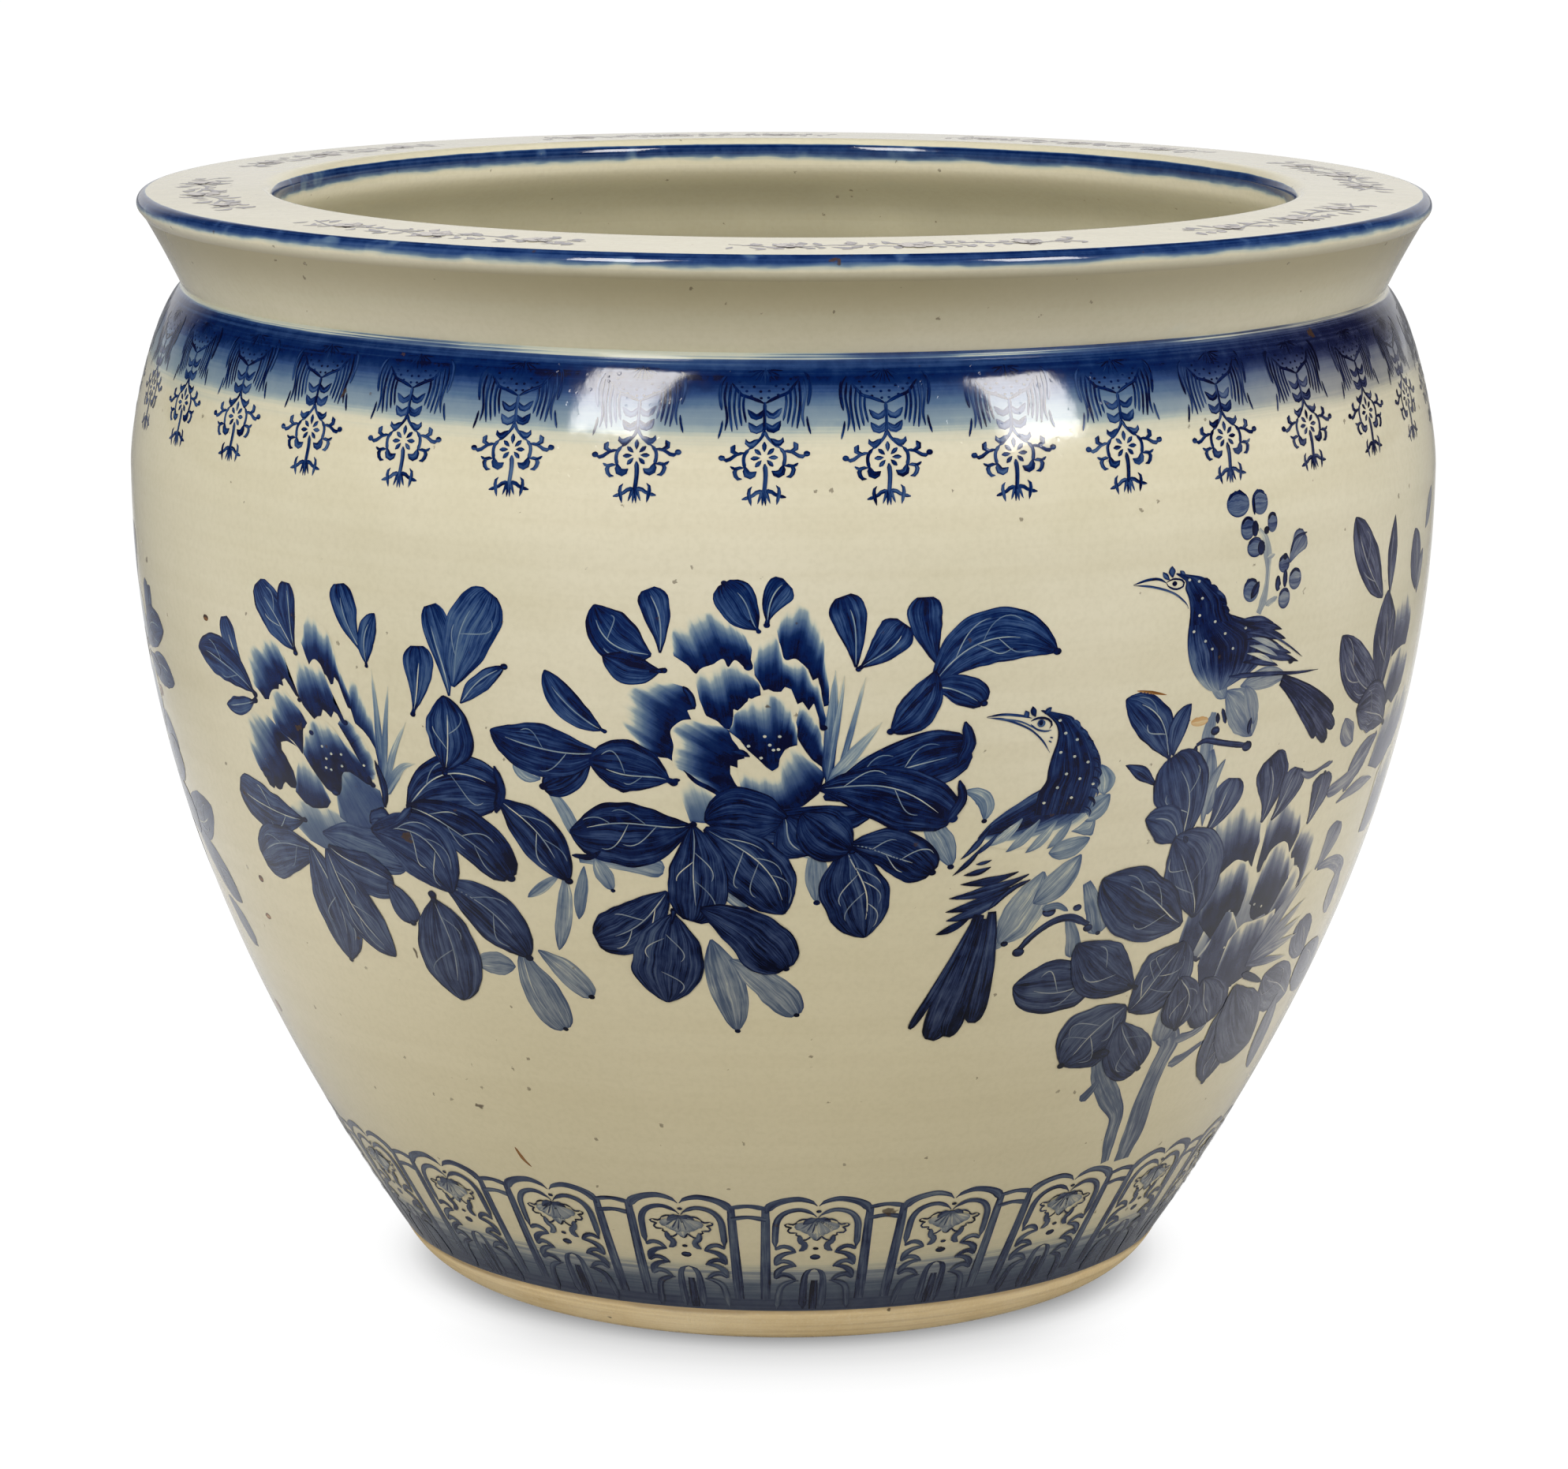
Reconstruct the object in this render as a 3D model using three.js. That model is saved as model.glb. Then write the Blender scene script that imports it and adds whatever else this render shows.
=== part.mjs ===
// A large porcelain fish bowl of the kind that also serves as a plant tub.
// It is built as the potter builds it: a trimmed foot, a base slab, three thrown sections of the body,
// a flaring collar and a flat flanged rim, each seated on the flat joint face of the one below.
// Millimetres, +Z up. The origin is on the floor, under the middle of the foot.

import * as THREE from "three";

// Heights of the sections, from the floor up
const footHeight = 20;
const footRecessDepth = 9;
const baseSlabThickness = 16;
const taperSectionHeight = 170;
const bellySectionHeight = 140;
const shoulderSectionHeight = 83;
const collarHeight = 29;
const flangeThickness = 12;

// Radii, and the level steps from one to the next
const bellyRadius = 280;
const glazeEdgeRadius = 167.5;
const footTuck = 29.5;
const footContactWidth = 23;
const shoulderDrawIn = 23;
const collarFlare = 15;
const lipOverhang = 3.5;
const mouthOverhang = 29;

// Walls, measured level
const wallAtBase = 18;
const wallAtNeck = 12;
const collarTopWidth = 26;

// Roundings and running-out
const footEdgeChamfer = 1.5;
const insideCornerRise = 26;
const insideCornerRun = 24;
const insideCornerShare = 0.25;
const outerLipRounding = 4.5;
const innerLipRounding = 6;
const lipUndercutDegrees = -30;
const rimFall = 1.3;
const spigotClearance = 0.3;

// Shape of the outer curve: how far each end keeps its direction, and how it leans there
const bellyHeightAboveFoot = 333;
const taperHandle = 158;
const taperLean = 103;
const bellyLowerHandle = 67;
const bellyUpperHandle = 20;
const neckHandle = 8.5;
const neckLean = 11.5;
const footBulge = 21;
const footBulgeHeight = 3;
const collarHollow = 0.8;

// Points used along each stretch
const aroundCount = 80;
const taperCount = 7;
const bellyCount = 6;
const shoulderCount = 6;
const roundingCount = 5;
const footCurveCount = 5;
const cornerCurveCount = 3;
const collarCurveCount = 3;
const halvingCount = 40;

// Radii that follow
const footContactRadius = glazeEdgeRadius - footTuck;
const neckRadius = bellyRadius - shoulderDrawIn;
const collarTopRadius = neckRadius + collarFlare;
const lipRadius = collarTopRadius + lipOverhang;
const mouthRadius = collarTopRadius - collarTopWidth - mouthOverhang;

// Heights of the joints
const slabTop = footHeight + baseSlabThickness;
const taperJoint = slabTop + taperSectionHeight;
const bellyJoint = taperJoint + bellySectionHeight;
const neckHeight = bellyJoint + shoulderSectionHeight;
const flangeUnderside = neckHeight + collarHeight;
const rimTop = flangeUnderside + flangeThickness;

const glaze = { color: 0xcfc8ac, roughness: 0.22, metalness: 0 };
const creamGlaze = { color: 0xe6dec4, roughness: 0.22, metalness: 0 };
const barePorcelain = { color: 0xc8a878, roughness: 0.8, metalness: 0 };

function at(radius, height) {
  return new THREE.Vector2(radius, height);
}

// The body's outer outline below the belly, from the glaze edge up.
function taperCurve() {
  const bellyHeight = footHeight + bellyHeightAboveFoot;
  return new THREE.CubicBezierCurve(
    at(glazeEdgeRadius, footHeight),
    at(glazeEdgeRadius + taperLean, footHeight + taperHandle),
    at(bellyRadius, bellyHeight - bellyLowerHandle),
    at(bellyRadius, bellyHeight),
  );
}

// The body's outer outline above the belly, up to the neck.
function shoulderCurve() {
  const bellyHeight = footHeight + bellyHeightAboveFoot;
  return new THREE.CubicBezierCurve(
    at(bellyRadius, bellyHeight),
    at(bellyRadius, bellyHeight + bellyUpperHandle),
    at(neckRadius + neckLean, neckHeight - neckHandle),
    at(neckRadius, neckHeight),
  );
}

// The outer radius at a height, found by halving the stretch of curve that holds it.
function outerRadiusAt(height) {
  const bellyHeight = footHeight + bellyHeightAboveFoot;
  const curve = height < bellyHeight ? taperCurve() : shoulderCurve();
  let low = 0;
  let high = 1;
  for (let step = 0; step < halvingCount; step += 1) {
    const middle = (low + high) / 2;
    if (curve.getPoint(middle).y < height) {
      low = middle;
    } else {
      high = middle;
    }
  }
  return curve.getPoint((low + high) / 2).x;
}

// The wall thins steadily from the base slab to the neck.
function innerRadiusAt(height) {
  const share = (height - slabTop) / (neckHeight - slabTop);
  return outerRadiusAt(height) - THREE.MathUtils.lerp(wallAtBase, wallAtNeck, share);
}

// The point of the body's outer outline at a height.
function onOutside(height) {
  return at(outerRadiusAt(height), height);
}

// The point of the body's inner outline at a height.
function onInside(height) {
  return at(innerRadiusAt(height), height);
}

// Evenly spaced heights from one to another, both included.
function heightsBetween(from, to, count) {
  return Array.from({ length: count + 1 }, (_, i) => THREE.MathUtils.lerp(from, to, i / count));
}

// Points of a round stretch about a centre, from one angle to another, both included.
function rounding(centre, radius, fromDegrees, toDegrees) {
  return Array.from({ length: roundingCount + 1 }, (_, i) => {
    const angle = THREE.MathUtils.degToRad(THREE.MathUtils.lerp(fromDegrees, toDegrees, i / roundingCount));
    return at(centre.x + radius * Math.cos(angle), centre.y + radius * Math.sin(angle));
  });
}

// One turned piece, from its outline listed outside-up and inside-down.
function turned(name, outline, finish) {
  const closes = outline[0].x === 0 && outline[outline.length - 1].x === 0;
  const points = closes ? outline : [...outline, outline[0]];
  const geometry = new THREE.LatheGeometry(points, aroundCount);
  geometry.rotateX(Math.PI / 2);
  const mesh = new THREE.Mesh(geometry, new THREE.MeshStandardMaterial(finish));
  mesh.name = name;
  return mesh;
}

// The bare foot: a trimmed ring whose outer side rolls under to a narrow standing face.
function footRing() {
  const inner = footContactRadius - footContactWidth;
  const side = new THREE.QuadraticBezierCurve(
    at(footContactRadius, 0),
    at(footContactRadius + footBulge, footBulgeHeight),
    at(glazeEdgeRadius, footHeight),
  );
  return turned(
    "foot_ring",
    [
      ...side.getPoints(footCurveCount),
      at(inner, footHeight),
      at(inner, footEdgeChamfer),
      at(inner + footEdgeChamfer, 0),
    ],
    barePorcelain,
  );
}

// The slab that closes the bowl, with a spigot that drops inside the foot and leaves it recessed.
function baseSlab() {
  const spigot = footContactRadius - footContactWidth - spigotClearance;
  return turned(
    "base_slab",
    [
      at(0, footRecessDepth),
      at(spigot, footRecessDepth),
      at(spigot, footHeight),
      ...heightsBetween(footHeight, slabTop, 1).map(onOutside),
      at(0, slabTop),
    ],
    glaze,
  );
}

// The lowest thrown section, with the long taper and a rounded inside corner over the slab.
function taperSection() {
  const cornerTop = slabTop + insideCornerRise;
  const corner = new THREE.QuadraticBezierCurve(
    at(innerRadiusAt(cornerTop), cornerTop),
    at(innerRadiusAt(slabTop), slabTop + insideCornerRise * insideCornerShare),
    at(innerRadiusAt(slabTop) - insideCornerRun, slabTop),
  );
  const outside = heightsBetween(slabTop, taperJoint, taperCount).map(onOutside);
  const inside = heightsBetween(taperJoint, cornerTop, taperCount - 1).map(onInside);
  const cornerPoints = corner.getPoints(cornerCurveCount).slice(1);
  return turned("taper_section", [...outside, ...inside, ...cornerPoints], glaze);
}

// A thrown section between two joints, with the same wall as its neighbours where they meet.
function thrownSection(name, from, to, count) {
  const outside = heightsBetween(from, to, count).map(onOutside);
  const inside = heightsBetween(to, from, count).map(onInside);
  return turned(name, [...outside, ...inside], glaze);
}

// The collar flares from the neck to the underside of the rim, a little hollow outside.
function collar() {
  const outside = new THREE.QuadraticBezierCurve(
    at(neckRadius, neckHeight),
    at((neckRadius + collarTopRadius) / 2 - collarHollow, neckHeight + collarHeight / 2),
    at(collarTopRadius, flangeUnderside),
  );
  return turned(
    "collar",
    [
      ...outside.getPoints(collarCurveCount),
      at(collarTopRadius - collarTopWidth, flangeUnderside),
      at(neckRadius - wallAtNeck, neckHeight),
    ],
    glaze,
  );
}

// The flat flanged rim: a T in section, with a rolled lip over the collar and a fuller one over the mouth.
function rimFlange() {
  const outerTop = rimTop - rimFall;
  const outer = at(lipRadius - outerLipRounding, outerTop - outerLipRounding);
  const inner = at(mouthRadius + innerLipRounding, rimTop - innerLipRounding);
  return turned(
    "rim_flange",
    [
      at(collarTopRadius, flangeUnderside),
      ...rounding(outer, outerLipRounding, lipUndercutDegrees, 90),
      ...rounding(inner, innerLipRounding, 90, 270),
    ],
    creamGlaze,
  );
}

const bowl = new THREE.Group();
bowl.add(
  footRing(),
  baseSlab(),
  taperSection(),
  thrownSection("belly_section", taperJoint, bellyJoint, bellyCount),
  thrownSection("shoulder_section", bellyJoint, neckHeight, shoulderCount),
  collar(),
  rimFlange(),
);

export default bowl;
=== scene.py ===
# A porcelain fish bowl painted in underglaze blue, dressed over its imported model.
# Sizes are in millimetres unless a name says otherwise.
# Angles are in degrees round from the front, + to the right.

import math

import bpy
import numpy as np
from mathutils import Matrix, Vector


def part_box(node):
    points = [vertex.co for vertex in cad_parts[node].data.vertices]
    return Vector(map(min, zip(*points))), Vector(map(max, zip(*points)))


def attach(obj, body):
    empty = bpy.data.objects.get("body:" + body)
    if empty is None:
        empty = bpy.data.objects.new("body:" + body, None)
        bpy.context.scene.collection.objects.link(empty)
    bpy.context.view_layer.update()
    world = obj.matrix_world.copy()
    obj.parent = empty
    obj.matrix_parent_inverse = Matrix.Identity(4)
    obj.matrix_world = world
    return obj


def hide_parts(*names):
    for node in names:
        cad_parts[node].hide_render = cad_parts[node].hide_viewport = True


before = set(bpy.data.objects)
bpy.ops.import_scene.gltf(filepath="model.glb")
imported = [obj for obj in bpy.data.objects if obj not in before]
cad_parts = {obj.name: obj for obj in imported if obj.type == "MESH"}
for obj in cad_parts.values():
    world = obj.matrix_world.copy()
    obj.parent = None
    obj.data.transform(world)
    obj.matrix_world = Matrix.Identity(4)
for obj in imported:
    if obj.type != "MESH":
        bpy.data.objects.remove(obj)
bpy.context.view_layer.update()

MM = 0.001

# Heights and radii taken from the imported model
NODES = (
    "foot_ring", "base_slab", "taper_section", "belly_section", "shoulder_section", "collar", "rim_flange",
)
TOPS = [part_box(node)[1][2] / MM for node in NODES]
FOOT_TOP, SLAB_TOP, TAPER_TOP, BELLY_TOP, NECK_HEIGHT, RIM_UNDERSIDE, MODEL_TOP = TOPS
GLAZE_EDGE_RADIUS, MODEL_COLLAR_REACH, MODEL_LIP_REACH = (
    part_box(node)[1][0] / MM for node in ("foot_ring", "collar", "rim_flange")
)

# Sizes that the boxes of the model don't show
PAINT_ROOM = 0.4  # how far the fine surface lies inside the model, as room for the paint on it
BELLY_RADIUS = 280 - PAINT_ROOM
NECK_RADIUS = 257 - PAINT_ROOM
COLLAR_TOP_RADIUS = MODEL_COLLAR_REACH - PAINT_ROOM
LIP_RADIUS = MODEL_LIP_REACH - PAINT_ROOM
RIM_TOP = MODEL_TOP - PAINT_ROOM
MOUTH_RADIUS = 217
BELLY_HEIGHT = FOOT_TOP + 333
TAPER_HANDLE = (103, 158)
BELLY_HANDLES = (67, 20)
NECK_HANDLE = (11.5, 8.5)
WALL_AT_BASE = 18
WALL_AT_NECK = 12
NECK_INSIDE = NECK_RADIUS - WALL_AT_NECK
NECK_BLEND = 28  # the inside of the shoulder turns up into the collar over this height
COVE_HANDLES = (9, 16)  # how far the hollow under the inner lip runs straight at its top and at its foot
COLLAR_HOLLOW = 0.4
FOOT_CONTACT_RADIUS = 138
FOOT_INNER_RADIUS = 115
FOOT_BULGE = (21, 3)
FOOT_CHAMFER = 1.5
RECESS_HEIGHT = 9
INSIDE_CORNER = (24, 26)
INSIDE_CORNER_SHARE = 0.25
OUTER_ROUNDING = 4.5
INNER_ROUNDING = 6
RIM_FALL = 1.3
LIP_UNDERCUT = -30
THROWING_RING_PITCH = 17
THROWING_RING_DEPTH = 0.45

AROUND = 360
LINE_POINTS = 400
SHOULDER_POINTS = 200
SECTION_STEP = 1.6
OUTER_BAND_START = 1.2  # the blue of the lips begins this far up the outer rounding
INNER_BAND_START = 6.3  # and this far round the inner one
NO_PAINT_DOWN = 200.0  # a place down the surface that no wash reaches
FAR_FROM_GLAZE = 30.0
ABOVE_BANDS = -6.0
SLAB_EYE = 0.5
SPIGOT_GAP = 0.3
SHARP_ANGLE = 50


# Outlines

def eased(value):
    """0 below 0, 1 above 1 and smooth between."""
    value = np.clip(value, 0, 1)
    return value * value * (3 - 2 * value)


def curve_points(ends, count):
    """Points along a quadratic or cubic curve through the first and last of its handles."""
    order = len(ends) - 1
    share = np.linspace(0, 1, count + 1)[:, None]
    weights = [math.comb(order, i) * (1 - share) ** (order - i) * share ** i for i in range(order + 1)]
    return sum(w * np.array(p, float) for w, p in zip(weights, ends))


def arc_points(centre, radius, start, end, count):
    """Points of a round stretch about a centre."""
    angle = np.radians(np.linspace(start, end, count + 1))
    return np.stack([centre[0] + radius * np.cos(angle), centre[1] + radius * np.sin(angle)], axis=1)


def lengths_along(points):
    """The length from the first point to each."""
    steps = np.hypot(*np.diff(points, axis=0).T)
    return np.concatenate([[0], np.cumsum(steps)])


TAPER = curve_points([
    (GLAZE_EDGE_RADIUS, FOOT_TOP),
    (GLAZE_EDGE_RADIUS + TAPER_HANDLE[0], FOOT_TOP + TAPER_HANDLE[1]),
    (BELLY_RADIUS, BELLY_HEIGHT - BELLY_HANDLES[0]),
    (BELLY_RADIUS, BELLY_HEIGHT),
], LINE_POINTS)
SHOULDER = curve_points([
    (BELLY_RADIUS, BELLY_HEIGHT),
    (BELLY_RADIUS, BELLY_HEIGHT + BELLY_HANDLES[1]),
    (NECK_RADIUS + NECK_HANDLE[0], NECK_HEIGHT - NECK_HANDLE[1]),
    (NECK_RADIUS, NECK_HEIGHT),
], SHOULDER_POINTS)
BODY_LINE = np.vstack([TAPER, SHOULDER[1:]])[::-1]
BODY_DROP = lengths_along(BODY_LINE)
BODY_LENGTH = BODY_DROP[-1]


def outer_radius(height):
    return np.interp(height, BODY_LINE[::-1, 1], BODY_LINE[::-1, 0])


def drop_at(height):
    """Millimetres down the body's surface from the neck, at a height."""
    return np.interp(height, BODY_LINE[::-1, 1], BODY_DROP[::-1])


def inner_radius(height):
    """The inside follows the outside less the wall, with the shallow rings that throwing leaves."""
    share = (height - SLAB_TOP) / (NECK_HEIGHT - SLAB_TOP)
    wall = WALL_AT_BASE + (WALL_AT_NECK - WALL_AT_BASE) * share
    ring = THROWING_RING_DEPTH * np.sin(2 * math.pi * height / THROWING_RING_PITCH)
    fade = np.clip((NECK_HEIGHT - height) / THROWING_RING_PITCH, 0, 1)
    thrown = outer_radius(height) - wall - ring * fade
    return NECK_INSIDE + (thrown - NECK_INSIDE) * eased((NECK_HEIGHT - height) / NECK_BLEND)


# Meshes

def mesh_object(name, points, faces, smooth=True):
    mesh = bpy.data.meshes.new(name)
    mesh.from_pydata((np.asarray(points) * MM).tolist(), [], faces)
    mesh.polygons.foreach_set("use_smooth", [smooth] * len(faces))
    mesh.update()
    piece = bpy.data.objects.new(name, mesh)
    bpy.context.scene.collection.objects.link(piece)
    return piece


def set_values(piece, name, values):
    """Keeps one number for each point of the mesh, for its material."""
    field = piece.data.attributes.new(name, "FLOAT", "POINT")
    field.data.foreach_set("value", np.asarray(values, dtype=np.float32))


def set_unrolled(piece, name, shares):
    """Keeps an unrolled place for each corner of each face."""
    field = piece.data.uv_layers.new(name=name)
    field.data.foreach_set("uv", np.asarray(shares, dtype=np.float32).ravel())


def turned(name, outline, down, materials, slot_of, finish, node):
    """A ring turned from its closed outline, with a material slot for each side of it.

    down is kept for its points.
    """
    outline = np.asarray(outline, float)
    count = len(outline)
    angle = np.radians(np.arange(AROUND) * 360 / AROUND)
    points = np.stack([
        np.outer(np.sin(angle), outline[:, 0]),
        -np.outer(np.cos(angle), outline[:, 0]),
        np.outer(np.ones(AROUND), outline[:, 1]),
    ], axis=2).reshape(-1, 3)
    ring = np.repeat(np.arange(AROUND), count)
    place = np.tile(np.arange(count), AROUND)
    after = (ring + 1) % AROUND
    above = (place + 1) % count
    corners = ((ring, place), (after, place), (after, above), (ring, above))
    faces = np.stack([side * count + up for side, up in corners], axis=1)
    piece = mesh_object(name, points, faces.tolist())
    along = lengths_along(np.vstack([outline, outline[:1]]))
    along = along / along[-1]
    left, right = ring / AROUND, (ring + 1) / AROUND
    low, high = along[place], along[place + 1]
    set_unrolled(piece, "OFBake", np.stack([left, low, right, low, right, high, left, high], axis=1))
    set_values(piece, "down", np.tile(down, AROUND))
    for material in materials:
        piece.data.materials.append(material)
    piece.data.polygons.foreach_set("material_index", np.asarray(slot_of)[place].astype(int))
    piece.data.set_sharp_from_angle(angle=math.radians(SHARP_ANGLE))
    stands_for(piece, finish, node)


def stands_for(piece, finish, *nodes):
    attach(piece, "root")
    if nodes:
        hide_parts(*nodes)


# Materials

def linear(hex_colour):
    """A colour as the eye sees it, in the light values that the shader works with."""
    values = [int(hex_colour[i:i + 2], 16) / 255 for i in (1, 3, 5)]
    return tuple(v / 12.92 if v <= 0.04045 else ((v + 0.055) / 1.055) ** 2.4 for v in values) + (1.0,)


class Tree:
    """A node tree, built one node at a time. A value is a socket or a constant."""

    def __init__(self, tree):
        self.tree = tree

    def node(self, kind, **settings):
        made = self.tree.nodes.new(kind)
        for name, value in settings.items():
            setattr(made, name, value)
        return made

    def feed(self, socket, value):
        if isinstance(value, bpy.types.NodeSocket):
            self.tree.links.new(value, socket)
        else:
            socket.default_value = value

    def math(self, operation, *values, clamp=False):
        made = self.node("ShaderNodeMath", operation=operation, use_clamp=clamp)
        for socket, value in zip(made.inputs, values):
            self.feed(socket, value)
        return made.outputs[0]

    def times(self, *values, clamp=False):
        return self.math("MULTIPLY", *values, clamp=clamp)

    def plus(self, *values, clamp=False):
        return self.math("ADD", *values, clamp=clamp)

    def between(self, value, low, high, low_gives=0.0, high_gives=1.0):
        """Runs smoothly from one value to the other as the input goes from low to high."""
        made = self.node("ShaderNodeMapRange", interpolation_type="SMOOTHSTEP")
        for socket, given in zip(made.inputs, (value, low, high, low_gives, high_gives)):
            self.feed(socket, given)
        return made.outputs[0]

    def mix(self, share, first, second, blend="MIX"):
        made = self.node("ShaderNodeMix", data_type="RGBA", blend_type=blend)
        for name, value in (("Factor_Float", share), ("A_Color", first), ("B_Color", second)):
            self.feed(next(s for s in made.inputs if s.identifier == name), value)
        return next(s for s in made.outputs if s.identifier == "Result_Color")

    def ramp(self, value, stops, kind="LINEAR"):
        made = self.node("ShaderNodeValToRGB")
        made.color_ramp.interpolation = kind
        elements = made.color_ramp.elements
        while len(elements) < len(stops):
            elements.new(1.0)
        for element, (position, colour) in zip(elements, stops):
            element.position = position
            element.color = colour if isinstance(colour, tuple) else (colour, colour, colour, 1.0)
        self.feed(made.inputs[0], value)
        return made.outputs[0]

    def field(self, name, output="Fac"):
        return self.node("ShaderNodeAttribute", attribute_name=name).outputs[output]

    def place(self):
        return self.node("ShaderNodeTexCoord").outputs["Object"]

    def vector(self, operation, *values, output=0):
        made = self.node("ShaderNodeVectorMath", operation=operation)
        for socket, value in zip(made.inputs, values):
            self.feed(socket, value)
        return made.outputs[output]

    def scaled(self, place, *scale):
        return self.vector("MULTIPLY", place, scale)

    def joined(self, x, y, z):
        made = self.node("ShaderNodeCombineXYZ")
        for socket, value in zip(made.inputs, (x, y, z)):
            self.feed(socket, value)
        return made.outputs[0]

    def split(self, place):
        made = self.node("ShaderNodeSeparateXYZ")
        self.feed(made.inputs[0], place)
        return made.outputs

    def noise(self, place, scale, detail=2.0, roughness=0.5, output="Fac"):
        made = self.node("ShaderNodeTexNoise")
        self.feed(made.inputs["Vector"], place)
        made.inputs["Scale"].default_value = scale
        made.inputs["Detail"].default_value = detail
        made.inputs["Roughness"].default_value = roughness
        return made.outputs[output]

    def cells(self, place, scale):
        """Distance to the nearest of many scattered places, and a random colour for each."""
        made = self.node("ShaderNodeTexVoronoi")
        self.feed(made.inputs["Vector"], place)
        made.inputs["Scale"].default_value = scale
        return made.outputs["Distance"], made.outputs["Color"]

    def bump(self, height, distance, strength=1.0):
        made = self.node("ShaderNodeBump")
        made.inputs["Strength"].default_value = strength
        made.inputs["Distance"].default_value = distance
        self.feed(made.inputs["Height"], height)
        return made.outputs[0]


def shades(*stops):
    return [(at, linear(colour)) for at, colour in stops]


COBALT = shades(
    (0, "#b6bbad"), (0.12, "#9ca8a5"), (0.2, "#7a8c98"), (0.42, "#4c6482"), (0.68, "#27406d"),
    (0.84, "#0a2351"), (0.93, "#03194a"), (1, "#070b2c"),
)
GREYED_COBALT = shades(
    (0, "#b4b19b"), (0.12, "#a3a292"), (0.2, "#7f8487"), (0.42, "#4d5766"), (0.68, "#2f3851"),
    (0.84, "#161f3b"), (1, "#070a18"),
)
DULL_COBALT = shades(
    (0, "#b6b09e"), (0.2, "#8f8a86"), (0.42, "#64626d"), (0.68, "#3b3849"), (0.84, "#1e1b2e"),
    (1, "#0b0914"),
)
VIOLET = shades(
    (0, "#cbc4b4"), (0.3, "#a89d95"), (0.6, "#76696c"), (1, "#40353f"),
)
RUST = shades(
    (0, "#cbbf9c"), (0.3, "#b89463"), (0.6, "#7d5329"), (1, "#2d1a0e"),
)
GREYER_BETWEEN = (0.13, 0.33)
DULLER_BETWEEN = (0.12, 0.24)
WARMER_BETWEEN = (0.10, 0.36)
# Heights between which the painted shading fades out under the rim top
PAINTED_SHADING_ENDS = (RIM_TOP - 12, RIM_TOP - 7)
BURNT_REACH = 30
COVERS = 7.0  # paint hides the glaze from one part in this on
SMALL_SPECKS = 0.7
LARGE_SPECKS = 0.85
RIPPLE_HEIGHT = 0.6
PEEL_HEIGHT = 0.08
PIT_DEPTH = 0.12
GLAZE_RELIEF = 0.00022
BARE_RELIEF = 0.00025


def specks(tree, place, scale, rarity, radius, softness):
    """Small spots of burnt iron, each scattered place holding one if its random number says so."""
    wobble = tree.scaled(tree.noise(place, scale * 6, 1.0, output="Color"), *[0.3 / scale] * 3)
    distance, chance = tree.cells(tree.vector("ADD", place, wobble), scale)
    parts = tree.node("ShaderNodeSeparateColor")
    tree.feed(parts.inputs[0], chance)
    has_one = tree.math("GREATER_THAN", parts.outputs[0], rarity)
    beyond = tree.math("SUBTRACT", distance, tree.times(parts.outputs[1], radius))
    return tree.times(tree.between(beyond, 0.0, softness, 1.0, 0.0), has_one)


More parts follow.
